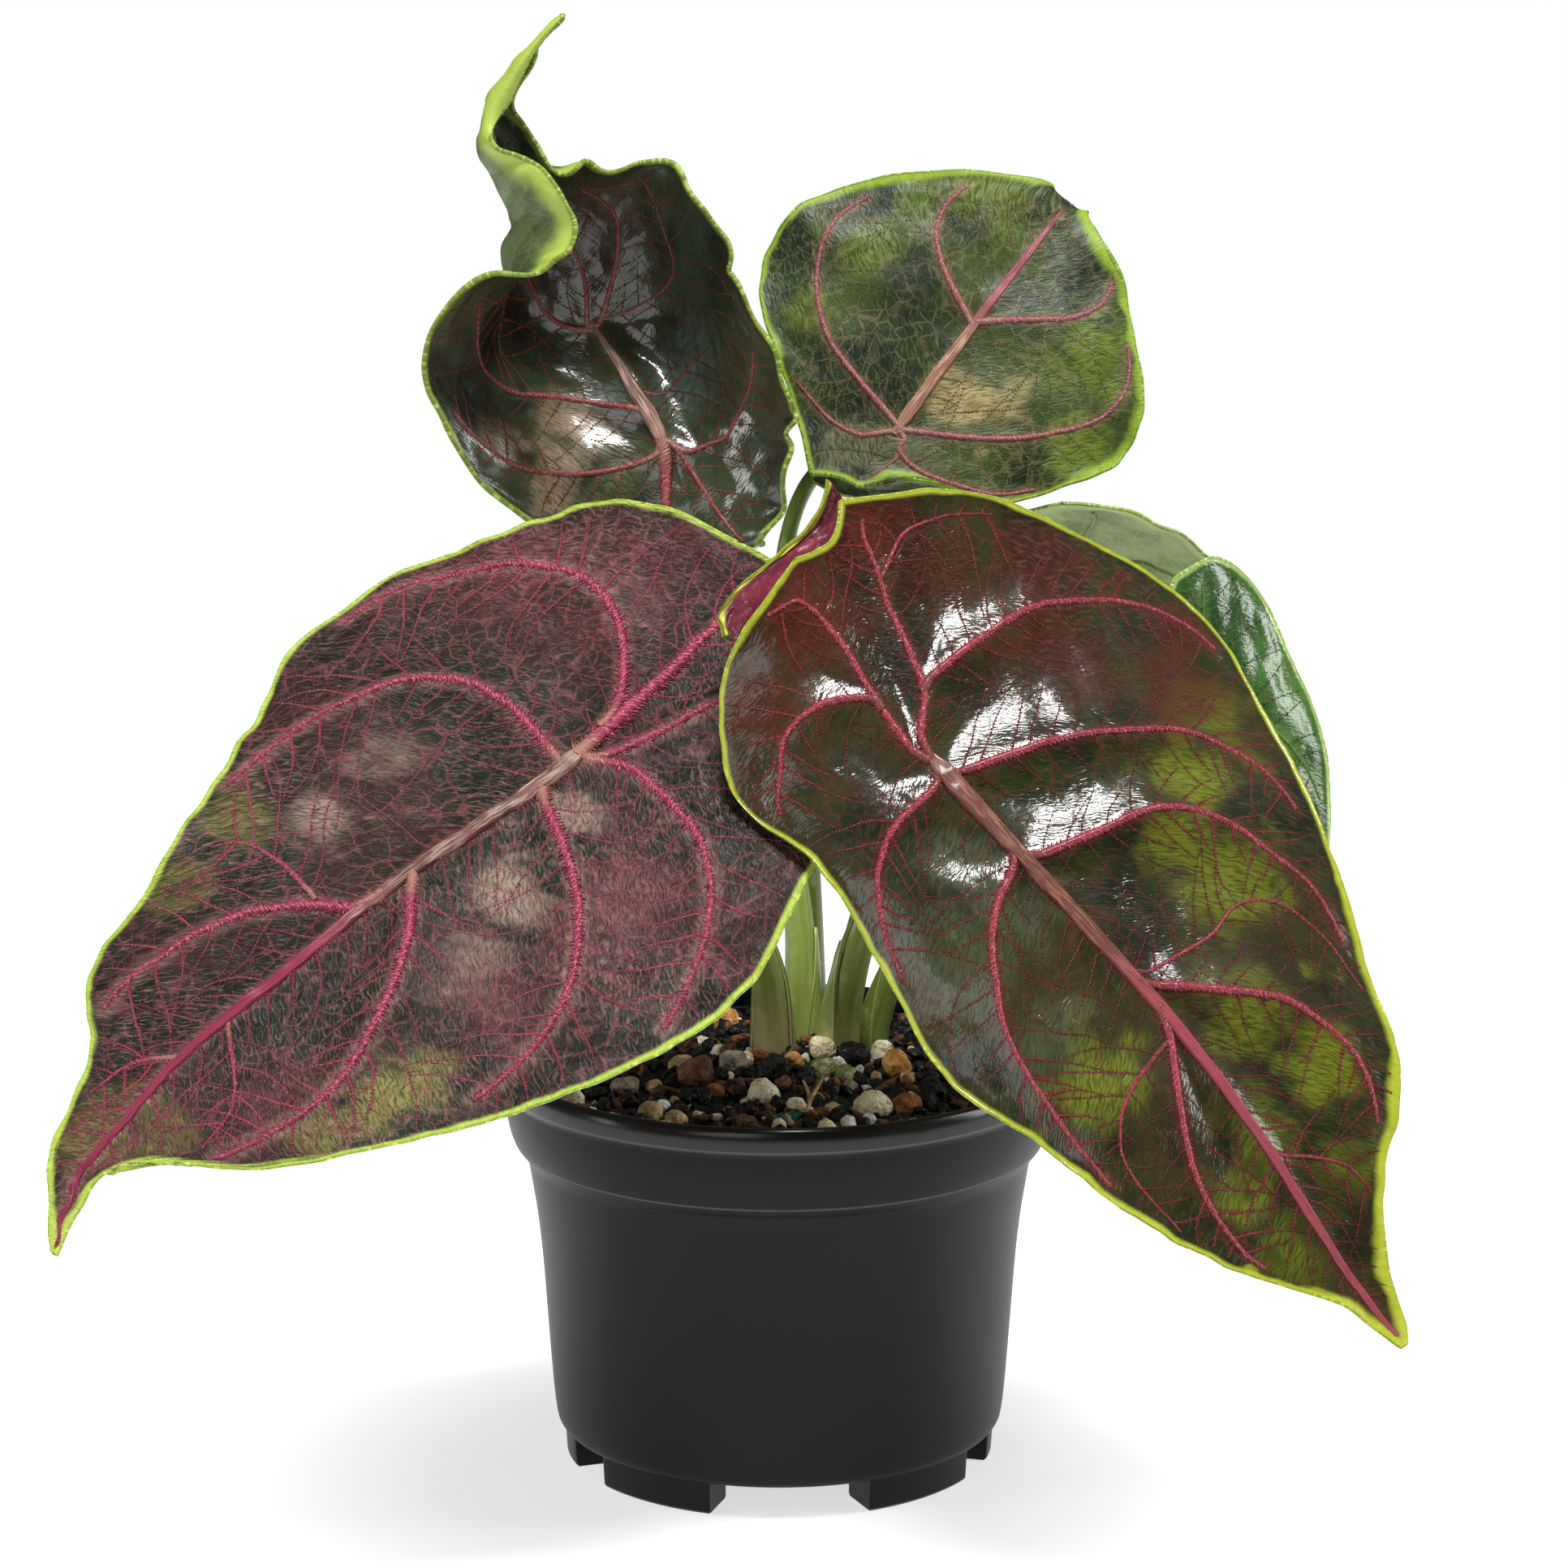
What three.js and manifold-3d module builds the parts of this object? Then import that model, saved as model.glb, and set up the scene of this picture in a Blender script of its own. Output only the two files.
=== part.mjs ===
// A young velvet-and-gloss aroid with six leaves, growing in a round nursery pot.
// Millimetres, +Z up. Points are written from the pot's axis and the surface it stands on, with the
// pictured front towards -Y. The finished group is then moved so that the origin is the middle of
// the bottom of the whole plant's box.
import * as THREE from 'three';
import { mergeVertices } from 'three/addons/utils/BufferGeometryUtils.js';
import Module from 'manifold-3d';

const wasm = await Module();
wasm.setup();

// Driving dimensions of the pot
const turnSteps = 36;
const rimRadius = 60;
const potHeight = 89;
const footHeight = 7;
const floorTop = 9.2;
const footOuter = 46.9;
const footInner = 36;
const footSpan = 35.5;
const footMiddles = [-36, 42, 93, 147, 218, 272];
const slotMiddles = [3, 67.5, 120, 182.5, 245, 298];
const slotSize = [5, 12];
const slotRadius = 28;

// Driving dimensions of the plant
const gap = 0.35;
const bladeThickness = 0.9;
const ribRise = 0.7;
const ribSink = 0.5;
const midribWidths = [1.7, 0.6];
const veinWidths = [1, 0.5];
const undersideRise = 1.5;
const undersideWidths = [1.8, 0.7];
const undersideStart = 0.45;
const hubApproach = 9;
const crown = new THREE.Vector3(6.5, 20.5, 72);
const cormSize = new THREE.Vector3(13.5, 13.5, 10.5);
const petioleSteps = 14;
const petioleSides = 7;
const rootCount = 4;
const rootRadii = [1.7, 0.8];
const soilEdgeHeight = 82.5;
const soilMound = 4;
const moundSpread = 24;

// Outside of the pot from the ledge over the feet to the top of the lip, as radius and height
const potOutside = [
  [47.9, 7.4], [48.8, 9.4], [50, 24], [51.3, 44], [52.4, 54.5], [53.5, 61], [55.2, 68.4],
  [56.2, 69.6], [58.2, 73.2], [59.4, 78], [59.6, 83.4], [rimRadius, 84], [rimRadius, 86.8],
  [59.4, 88.5], [58.4, potHeight],
];
// Inside of the pot from the lip down to the floor
const potInside = [[57.5, 88.4], [56.8, 80], [54, 69.5], [52, 61], [49.7, 44], [47.3, floorTop]];

function seededRandom(seed) {
  let state = seed;
  return () => {
    state = (state * 1664525 + 1013904223) % 4294967296;
    return state / 4294967296;
  };
}

function signedVolume(positions, indices) {
  const corner = (k) => new THREE.Vector3().fromArray(positions, indices[k] * 3);
  let volume = 0;
  for (let k = 0; k < indices.length; k += 3) {
    volume += corner(k).dot(corner(k + 1).cross(corner(k + 2))) / 6;
  }
  return volume;
}

function solidFrom(positions, indices) {
  const triangles = Uint32Array.from(indices);
  if (signedVolume(positions, triangles) < 0) triangles.reverse();
  return new wasm.Manifold(new wasm.Mesh({
    numProp: 3,
    vertProperties: Float32Array.from(positions),
    triVerts: triangles,
  }));
}

function solidFromGeometry(geometry) {
  geometry.deleteAttribute('normal');
  geometry.deleteAttribute('uv');
  const merged = mergeVertices(geometry, 0.001);
  return solidFrom(merged.attributes.position.array, merged.index.array);
}

function geometryOf(solid) {
  const mesh = solid.getMesh();
  const geometry = new THREE.BufferGeometry();
  geometry.setAttribute('position', new THREE.BufferAttribute(mesh.vertProperties, 3));
  geometry.setIndex(new THREE.BufferAttribute(mesh.triVerts, 1));
  geometry.computeVertexNormals();
  return geometry;
}

function fuse(solids) {
  return solids.reduce((all, next) => all.add(next));
}

// Cutting can leave a loose scrap and fusing a closed bubble, so only the largest body stays
function largestBody(solid) {
  return solid.decompose().reduce((best, body) => (body.volume() > best.volume() ? body : best));
}

// A closed body through rings of points, all rings with the same number of points
function bodyThroughRings(rings) {
  const sides = rings[0].length;
  const positions = rings.flat().flatMap((point) => point.toArray());
  const indices = [];
  for (let ring = 0; ring < rings.length - 1; ring += 1) {
    for (let side = 0; side < sides; side += 1) {
      const a = ring * sides + side;
      const b = ring * sides + ((side + 1) % sides);
      indices.push(a, b, b + sides, a, b + sides, a + sides);
    }
  }
  const last = (rings.length - 1) * sides;
  for (let side = 1; side < sides - 1; side += 1) {
    indices.push(0, side + 1, side, last, last + side, last + side + 1);
  }
  return solidFrom(positions, indices);
}

// A round stalk along a curve, wide and sheathed at its foot and slim above; extra widens it and
// lengthens both ends, to cut its own hole
function stalk(points, startRadius, endRadius, steps, sides, extra = 0) {
  const curve = new THREE.CatmullRomCurve3(points, false, 'centripetal');
  const frames = curve.computeFrenetFrames(steps, false);
  const rings = [];
  for (let step = 0; step <= steps; step += 1) {
    const centre = curve.getPointAt(step / steps);
    if (step === 0) centre.addScaledVector(frames.tangents[step], -extra);
    if (step === steps) centre.addScaledVector(frames.tangents[step], extra);
    const radius = endRadius + (startRadius - endRadius) * (1 - step / steps) ** 3 + extra;
    rings.push(Array.from({ length: sides }, (_, side) => {
      const angle = (2 * Math.PI * side) / sides;
      return centre.clone()
        .addScaledVector(frames.normals[step], radius * Math.cos(angle))
        .addScaledVector(frames.binormals[step], radius * Math.sin(angle));
    }));
  }
  return bodyThroughRings(rings);
}

// Catmull-Rom through rows of numbers at a row number that need not be whole
function rowAt(rows, place) {
  const top = rows.length - 1;
  const clamped = THREE.MathUtils.clamp(place, 0, top - 1e-9);
  const index = Math.floor(clamped);
  const t = clamped - index;
  const a = rows[Math.max(index - 1, 0)];
  const b = rows[index];
  const c = rows[index + 1];
  const d = rows[Math.min(index + 2, top)];
  return b.map((value, k) => 0.5 * (2 * value + (c[k] - a[k]) * t
    + (2 * a[k] - 5 * value + 4 * c[k] - d[k]) * t * t
    + (3 * value - 3 * c[k] + d[k] - a[k]) * t * t * t));
}

// Eased steps between stations written as [distance along the midrib, value]
function eased(stations, along) {
  if (along <= stations[0][0]) return stations[0][1];
  for (let k = 1; k < stations.length; k += 1) {
    const [from, low] = stations[k - 1];
    const [to, high] = stations[k];
    if (along < to) return THREE.MathUtils.lerp(low, high, THREE.MathUtils.smoothstep(along, from, to));
  }
  return stations[stations.length - 1][1];
}

// A blade laid out flat, then bent along its midrib and folded and cupped across it. A flat row is
// [midrib u, right u, right v, left u, left v]: u runs from the stalk to the tip, v to the left.
function flatBlade(leaf) {
  const hub = new THREE.Vector3(...leaf.hub);
  const forward = new THREE.Vector3(...leaf.forward).normalize();
  const up = new THREE.Vector3(...leaf.face);
  up.addScaledVector(forward, -up.dot(forward)).normalize();
  const left = up.clone().cross(forward);
  const spineStep = 1;
  const sectionSteps = 40;
  const foldReach = 4;
  const spine = new Map();
  const start = Math.floor(leaf.rows[0][0]) - 10;
  let along = 0;
  let rise = 0;
  const lean = (u) => THREE.MathUtils.degToRad(eased(leaf.bend, u));
  for (let u = 0; u <= 170; u += spineStep) {
    spine.set(u, [along, rise]);
    along += spineStep * Math.cos(lean(u + spineStep / 2));
    rise += spineStep * Math.sin(lean(u + spineStep / 2));
  }
  along = 0;
  rise = 0;
  for (let u = 0; u >= start; u -= spineStep) {
    spine.set(u, [along, rise]);
    along -= spineStep * Math.cos(lean(u - spineStep / 2));
    rise -= spineStep * Math.sin(lean(u - spineStep / 2));
  }
  return (row, across) => {
    const [midU, rightU, rightV, leftU, leftV] = rowAt(leaf.rows, row);
    const isLeft = across >= 0;
    const reach = Math.abs(across);
    const midV = eased(leaf.sway, midU);
    const u = midU + ((isLeft ? leftU : rightU) - midU) * reach * reach;
    const v = ((isLeft ? leftV : rightV) - midV) * reach;
    const middle = eased(leaf.sway, u);
    const span = midV + v - middle;
    const fold = eased(span >= 0 ? leaf.fold : leaf.foldRight ?? leaf.fold, u);
    const cup = eased(span >= 0 ? leaf.cup : leaf.cupRight ?? leaf.cup, u);
    let side = 0;
    let height = 0;
    for (let k = 0; k < sectionSteps; k += 1) {
      const distance = (Math.abs(span) * (k + 0.5)) / sectionSteps;
      const turn = fold * Math.min(distance / foldReach, 1) + (cup * distance) / leaf.cupWidth;
      side += (Math.cos(THREE.MathUtils.degToRad(turn)) * Math.abs(span)) / sectionSteps;
      height += (Math.sin(THREE.MathUtils.degToRad(turn)) * Math.abs(span)) / sectionSteps;
    }
    const low = Math.floor(u);
    const part = u - low;
    const [alongLow, riseLow] = spine.get(low);
    const [alongHigh, riseHigh] = spine.get(low + 1);
    const alongHere = THREE.MathUtils.lerp(alongLow, alongHigh, part);
    const riseHere = THREE.MathUtils.lerp(riseLow, riseHigh, part);
    return hub.clone()
      .addScaledVector(forward, alongHere - height * Math.sin(lean(u)))
      .addScaledVector(up, riseHere + height * Math.cos(lean(u)))
      .addScaledVector(left, middle + Math.sign(span) * side);
  };
}

// A strongly curled blade through cross-sections of five points: left edge, left belly, midrib, right
// belly and right edge, from the blunt end to the tip
function curledBlade(leaf) {
  const rows = leaf.sections.map((section) => section.flat());
  return (row, across) => {
    const section = rowAt(rows, row);
    const point = (k) => new THREE.Vector3().fromArray(section, k * 3);
    const [belly, edge] = across >= 0 ? [point(1), point(0)] : [point(3), point(4)];
    return new THREE.QuadraticBezierCurve3(point(2), belly, edge).getPoint(Math.abs(across));
  };
}

// The surface of a blade with its waved edge: row number, place across from -1 to 1, and lift off it
function surfaceOf(leaf) {
  const place = leaf.sections ? curledBlade(leaf) : flatBlade(leaf);
  const lastRow = (leaf.sections ?? leaf.rows).length - 1;
  const step = 0.05;
  const surface = (row, across, lift = 0) => {
    const rowLow = Math.max(row - step, 0);
    const rowHigh = Math.min(row + step, lastRow);
    const lengthwise = place(rowHigh, across).sub(place(rowLow, across));
    const sideways = place(row, Math.min(across + step, 1)).sub(place(row, Math.max(across - step, -1)));
    const normal = lengthwise.cross(sideways).normalize();
    const fade = Math.sin((Math.PI * row) / lastRow);
    const wave = leaf.wave * Math.sin((2 * Math.PI * leaf.waves * row) / lastRow + Math.sign(across));
    return place(row, across).addScaledVector(normal, lift + wave * fade * Math.abs(across) ** 3);
  };
  return Object.assign(surface, { lastRow });
}

// Both faces share one pattern of triangles, so a waved sheet never meets itself
function sheetBody(pointAt, rowSteps, acrossSteps) {
  const positions = [];
  const wide = acrossSteps + 1;
  for (const top of [true, false]) {
    for (let row = 0; row <= rowSteps; row += 1) {
      for (let k = 0; k <= acrossSteps; k += 1) {
        positions.push(...pointAt(row / rowSteps, (2 * k) / acrossSteps - 1, top).toArray());
      }
    }
  }
  const under = (rowSteps + 1) * wide;
  const indices = [];
  for (let row = 0; row < rowSteps; row += 1) {
    for (let k = 0; k < acrossSteps; k += 1) {
      const a = row * wide + k;
      const c = a + wide;
      indices.push(a, c, c + 1, a, c + 1, a + 1);
      indices.push(a + under, c + 1 + under, c + under, a + under, a + 1 + under, c + 1 + under);
    }
  }
  const border = [];
  for (let k = 0; k < acrossSteps; k += 1) border.push(k);
  for (let row = 0; row < rowSteps; row += 1) border.push(row * wide + acrossSteps);
  for (let k = acrossSteps; k > 0; k -= 1) border.push(rowSteps * wide + k);
  for (let row = rowSteps; row > 0; row -= 1) border.push(row * wide);
  border.forEach((a, k) => {
    const b = border[(k + 1) % border.length];
    indices.push(a, b, b + under, a, b + under, a + under);
  });
  return solidFrom(positions, indices);
}

function bladeBody(surface, leaf, thickness) {
  return sheetBody((along, across, top) => surface(
    along * surface.lastRow,
    across,
    (top ? 0.5 : -0.5) * thickness,
  ), leaf.rowSteps, leaf.acrossSteps);
}

// A raised rib along a path given in row and place across; side is 1 on the face and -1 beneath
function rib(surface, path, steps, [startWidth, endWidth], rise, side) {
  const crest = side * (bladeThickness / 2 + rise);
  const root = side * (bladeThickness / 2 - ribSink);
  const stride = 0.01;
  const rings = [];
  for (let step = 0; step <= steps; step += 1) {
    const [row, across] = path(step / steps);
    const [rowNext, acrossNext] = path(Math.min(step / steps + stride, 1));
    const [rowBefore, acrossBefore] = path(Math.max(step / steps - stride, 0));
    const heading = surface(rowNext, acrossNext).sub(surface(rowBefore, acrossBefore)).normalize();
    const normal = surface(row, across, 1).sub(surface(row, across)).normalize();
    const sideways = heading.cross(normal);
    const width = THREE.MathUtils.lerp(startWidth, endWidth, step / steps);
    const lowering = 1 - 0.5 * (step / steps);
    rings.push([
      surface(row, across, root).addScaledVector(sideways, -width),
      surface(row, across, root + (crest - root) * lowering),
      surface(row, across, root).addScaledVector(sideways, width),
    ]);
  }
  return bodyThroughRings(rings);
}

// A vein is a bent line [start row, start across, bend row, bend across, end row, end across]
function veinPath([row0, across0, row1, across1, row2, across2]) {
  const curve = new THREE.QuadraticBezierCurve(
    new THREE.Vector2(row0, across0),
    new THREE.Vector2(row1, across1),
    new THREE.Vector2(row2, across2),
  );
  return (t) => curve.getPoint(t).toArray();
}

// A curled-back lobe: a narrow strip from places just inside the blade's edge out to free points
function lobeBody(surface, lobe) {
  const inner = lobe.from.map(([row, across]) => surface(row, across).toArray());
  const steps = lobe.to.length - 1;
  const middle = (along, across) => {
    const root = new THREE.Vector3(...rowAt(inner, along * steps));
    const edge = new THREE.Vector3(...rowAt(lobe.to, along * steps));
    const hollow = new THREE.Vector3(0, lobe.hollow * (1 - across * across), 0);
    return root.lerp(edge, (across + 1) / 2).add(hollow);
  };
  return sheetBody((along, across, top) => {
    const step = 0.02;
    const lengthwise = middle(along + step, across).sub(middle(along - step, across));
    const sideways = middle(along, across + step).sub(middle(along, across - step));
    const normal = lengthwise.cross(sideways).normalize();
    return middle(along, across).addScaledVector(normal, (top ? 0.5 : -0.5) * bladeThickness);
  }, steps * 2 - 1, 3);
}

const leaves = {
  front_left: {
    colour: 0x55323c, roughness: 0.55,
    hub: [-40.4, -44, 162.8], forward: [-101.3, -64.8, -86], face: [-0.3, -0.8, 0.52], hubRow: 4,
    rows: [
      [-59, -58, -8, -58, 6], [-48, -54, -28, -52, 20], [-34, -44, -44, -42, 36], [-18, -26, -55, -28, 47],
      [0, -8, -66, -8, 56], [18, 18, -67, 14, 63], [40, 44, -57, 38, 61], [64, 76, -45, 62, 51],
      [90, 100, -40, 84, 39], [112, 111, -28, 106, 20], [130, 131, -20, 124, -5], [140, 140, -11, 137, -6],
      [146, 146, -4, 146, -2],
    ],
    bend: [[-60, -10], [0, 4], [60, 2], [120, -12], [146, 2]],
    sway: [[0, 0], [60, -7], [112, -12], [130, -12], [139, -8], [146, -3]],
    fold: [[0, 10]], cup: [[0, -30]], cupWidth: 80, wave: 1.1, waves: 6, rowSteps: 20, acrossSteps: 8,
    midrib: [0.6, 11.6],
    veins: [
      [4, 0, 4.2, -0.77, 6.7, -0.92], [3.2, 0, 1.3, -0.7, 3.6, -0.91], [3.9, 0, 2.9, 0.32, 1.6, 0.7],
      [3.9, 0, 3.7, 0.81, 5.6, 0.87], [4.6, 0, 5.7, 0.74, 7.3, 0.88], [6.7, 0, 7.2, -0.64, 8.8, -0.95],
      [6.2, 0, 7.6, 0.67, 9, 0.71], [8.6, 0, 9.2, -0.5, 10.2, -0.8],
    ],
    petiole: {
      radius: [5, 2.1],
      points: [
        [-1.2, 13.8, 76], [-1.4, 13.5, 88], [-3, 11, 104], [-9, 3, 121], [-22, -14, 139],
        [-33, -29, 151],
      ],
    },
  },
  front_right: {
    colour: 0x3c2a1e, roughness: 0.25,
    hub: [30.9, -62, 165], forward: [92, -50, -107.5], face: [0.33, -0.84, 0.42], hubRow: 4.5,
    rows: [
      [-50, -51, 4, -56, 19], [-44, -47, -7, -50, 32], [-34, -41, -20, -43, 44], [-22, -31, -29, -28, 57],
      [-8, -18, -35, -8, 69], [8, 2, -31, 14, 71], [26, 26, -35, 36, 65], [46, 50, -39, 61, 55],
      [68, 74, -33, 86, 44], [92, 97, -27, 105, 35], [114, 114, -18, 120, 20], [132, 131, -4, 133, 11],
      [142, 140, 0, 143, 7], [148, 148, 2, 148, 4],
    ],
    bend: [[-60, -14], [0, 6], [60, 2], [120, -14], [148, 4]],
    sway: [[-50, 11], [0, 0], [80, 3], [148, 3]],
    fold: [[0, 12]], cup: [[0, -34]], foldRight: [[0, 4]], cupRight: [[0, -95], [50, -70], [120, -34]],
    cupWidth: 80, wave: 1, waves: 6, rowSteps: 21, acrossSteps: 8,
    midrib: [4.4, 12.4],
    veins: [
      [4.4, 0, 1.7, 0.08, 0.4, 0.58], [4.4, 0, 1, -0.19, 1, -0.85],
      [3.6, 0.08, 3, 0.66, 4.6, 0.92], [4.8, 0, 5.3, 0.55, 6.3, 0.89], [6.1, 0, 6, 0.8, 8.2, 0.95],
      [7.7, 0, 8, 0.69, 9.6, 0.88], [4.7, 0, 5, -0.91, 6.2, -0.93], [5.9, 0, 6.8, -0.86, 8.9, -0.92],
      [8.1, 0, 9.1, -0.63, 10.3, -0.84],
    ],
    lobe: {
      from: [[0.25, 0.85], [0.22, 0.1], [0.3, -0.85], [0.85, -0.9], [1.3, -0.92], [1.7, -0.93]],
      to: [[10, -36, 219], [7, -37, 211], [0, -39, 204], [-8, -41, 198], [-12, -44, 193], [-11, -48, 189]],
      hollow: 2.5,
    },
    petiole: {
      radius: [5.2, 2.1],
      points: [
        [12.6, 13.5, 76], [13, 13, 88], [15.5, 9, 104], [20, -3, 121], [26, -24, 140],
        [29, -42, 153],
      ],
    },
  },
  upper_left: {
    colour: 0x2f3a24, roughness: 0.15,
    hubRow: 2,
    sections: [
      [[-47, 12, 198], [-35, 14, 192], [-23, 14, 191], [-14, 13, 192], [-5, 12, 196]],
      [[-61, 6, 210], [-45, 18, 200], [-24, 18, 204], [-12, 16, 201], [-1, 8, 204]],
      [[-70, 0, 224], [-47, 24, 210], [-25, 23, 218], [-10, 24, 214], [3, 6, 220]],
      [[-74, -2, 237], [-55, 32, 218], [-32, 29, 230], [-12, 32, 225], [3, 6, 230]],
      [[-71, -4, 249], [-60, 38, 226], [-37, 34, 237], [-16, 38, 233], [-3, 6, 244]],
      [[-60, -6, 257], [-65, 42, 234], [-40, 36, 242], [-19, 40, 242], [-8, 8, 254]],
      [[-49, -8, 259], [-70, 38, 247], [-42, 35, 248], [-23, 38, 250], [-10, 10, 260]],
      [[-44, -10, 262], [-72, 28, 260], [-44, 33, 255], [-30, 36, 258], [-16, 12, 269]],
      [[-43, -8, 270], [-67, 20, 266], [-47, 29, 264], [-37, 30, 267], [-25, 14, 279]],
      [[-47, -4, 277], [-68, 16, 273], [-53, 24, 274], [-45, 26, 273], [-38, 14, 277]],
      [[-55, 2, 281], [-68, 12, 281], [-59, 18, 282], [-53, 20, 280], [-47, 14, 279]],
      [[-60, 4, 285], [-63, 8, 288], [-61, 14, 289], [-57, 16, 288], [-54, 14, 286]],
      [[-56, 8, 291], [-59, 6, 293], [-60, 12, 293], [-58, 16, 292], [-55, 15, 291]],
      [[-52, 7, 298], [-54, 4, 300], [-56, 10, 299], [-53, 14, 299], [-51, 13, 298]],
      [[-48, 6, 305], [-49, 4, 307], [-51, 8, 306], [-49, 12, 306], [-47, 10, 305]],
      [[-44.5, 5, 309], [-45, 5, 309.5], [-45.5, 6, 309.5], [-45, 7, 309.5], [-44.5, 7, 309]],
    ],
    wave: 0.8, waves: 8, rowSteps: 26, acrossSteps: 8,
    midrib: [0.8, 8.5],
    veins: [
      [2, 0, 1, -0.47, 0.9, -0.87], [2.1, 0, 1.4, 0.79, 2.8, 0.93], [2.6, 0, 3.3, 0.62, 4.4, 0.8],
      [2.1, -0.1, 2.9, -0.75, 3.8, -0.91], [5, 0, 6.8, -0.31, 8.2, -0.58],
      [3, -0.05, 3.8, -0.42, 4.2, -0.75],
    ],
    petiole: {
      radius: [4.7, 1.8],
      points: [
        [4.6, 22.4, 76], [4.8, 22.4, 90], [4, 24, 115], [-2, 29, 150], [-12, 33.5, 182],
        [-20, 34, 203],
      ],
    },
  },
  upper_right: {
    colour: 0x34502a, roughness: 0.3,
    hub: [25.3, 24, 220.6], forward: [35.3, 18, 45], face: [0.05, -0.9, 0.42], hubRow: 2,
    rows: [
      [-15, -9, -4, -19, 9], [-9, -5, -12, -12, 17], [0, 0, -27, -3, 28], [10, 12, -37, 5, 40],
      [22, 24, -43, 17, 47], [34, 35, -40, 30, 46], [45, 46, -30, 43, 37], [53, 55, -21, 54, 24],
      [58, 61, -10, 62, 12], [61, 64, -5, 65, 6], [66, 68, -4, 69, 5], [80, 80, -1, 80, 1],
    ],
    bend: [[-20, -6], [0, 4], [60, -10], [72, -120], [85, -150]],
    sway: [[0, 0]], fold: [[0, 10]], cup: [[0, -30]], cupWidth: 50,
    wave: 0.8, waves: 5, rowSteps: 17, acrossSteps: 8,
    midrib: [0.5, 9.2],
    veins: [
      [4.5, 0, 5.3, 0.41, 6.9, 0.79], [4.6, 0, 6, -0.74, 7.5, -0.92], [2, 0, 3.1, 0.95, 5.7, 0.83],
      [2.1, 0, 3.5, -0.9, 5.8, -0.92], [1.6, 0.1, 1.3, 0.6, 1.8, 0.85],
    ],
    lobe: {
      from: [[0.5, 0.75], [0.45, 0.3], [0.5, -0.4], [0.95, -0.75], [1.5, -0.8]],
      to: [[7, 26, 209], [13, 27, 206], [20, 28, 205], [28, 26, 206], [36, 24, 206]],
      hollow: 1.5,
    },
    petiole: {
      radius: [4, 1.7],
      points: [
        [7, 30.6, 76], [7, 30.6, 92], [6, 32, 130], [2, 33, 168], [1, 33, 191], [6.5, 33, 208],
        [16, 32, 216],
      ],
    },
  },
  back: {
    colour: 0x4e6136, roughness: 0.45,
    hub: [65, 42, 191], forward: [50, 60, -52], face: [0.3, 0.55, 0.75], hubRow: 2.25,
    rows: [
      [-24, -26, -12, -26, 12], [-16, -22, -24, -22, 24], [-4, -12, -31, -12, 31], [12, 7, -33, 7, 33],
      [24, 24, -27, 24, 27], [36, 38, -17, 38, 17], [45, 46, -8, 46, 8], [52, 52, -1, 52, 1],
    ],
    bend: [[-24, 10], [0, 0], [30, -20], [52, -40]],
    sway: [[0, 0]], fold: [[0, 12]], cup: [[0, -30]], cupWidth: 40,
    wave: 0.7, waves: 4, rowSteps: 11, acrossSteps: 6,
    midrib: [1, 6.8],
    veins: [
      [2.2, 0, 1.4, 0.5, 0.9, 0.7], [2.2, 0, 1.4, -0.5, 0.9, -0.7],
      [2.6, 0, 3, 0.6, 4.2, 0.85], [2.6, 0, 3, -0.6, 4.2, -0.85],
    ],
    petiole: {
      radius: [4, 1.6],
      points: [[13.2, 23.5, 76], [13.4, 23.6, 90], [19, 25, 116], [32, 30, 148], [47, 34, 170]],
    },
  },
  side: {
    colour: 0x1f4a22, roughness: 0.15,
    hub: [90, 6, 161.2], forward: [30, 4, -60], face: [0.45, -0.75, 0.35], hubRow: 2.5,
    rows: [
      [-26, -30, -8, -30, 8], [-20, -28, -18, -28, 20], [-8, -16, -24, -16, 27], [8, 4, -26, 4, 28],
      [24, 24, -24, 24, 25], [40, 42, -17, 42, 17], [54, 56, -8, 56, 8], [66, 66, -1, 66, 1],
    ],
    bend: [[-30, -8], [0, 0], [66, -16]],
    sway: [[0, 0]], fold: [[0, 14]], cup: [[0, -30]], cupWidth: 40,
    wave: 0.6, waves: 4, rowSteps: 11, acrossSteps: 6,
    midrib: [1, 6.8],
    veins: [
      [2.4, 0, 1.4, 0.5, 0.9, 0.7], [2.4, 0, 1.4, -0.5, 0.9, -0.7],
      [2.8, 0, 3.2, 0.6, 4.4, 0.85], [2.8, 0, 3.2, -0.6, 4.4, -0.85],
    ],
    petiole: {
      radius: [3.8, 1.6],
      points: [[20.6, 19.2, 76], [21.2, 19.2, 90], [31, 19, 112], [54, 17, 136], [72, 15, 149]],
    },
  },
};

// Stones that lie in the open in front of the stems, as [x, y, radius]
const frontStones = [
  [20, -26.5, 3.7], [-3.5, -17, 3.3], [25.5, 2, 3.3], [27, -25.5, 3], [9.5, 7.5, 2.8], [22.5, 12, 2.6],
  [10, -2, 3], [3, 1.5, 2.5], [-18, -4, 3.5], [-10, 3, 2.8], [-27, -31.5, 2.8], [-21.5, -33, 2.3],
  [-20.5, 19.5, 3], [33, -13, 3], [-33, -9.5, 3], [6, -29, 2.4], [38, -19, 2.6], [-44, -20, 2.8],
];
const scatteredStones = 10;
const scatteredRadii = [2, 3.3];
const soilReach = 53;
const crownClearance = 18;

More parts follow.
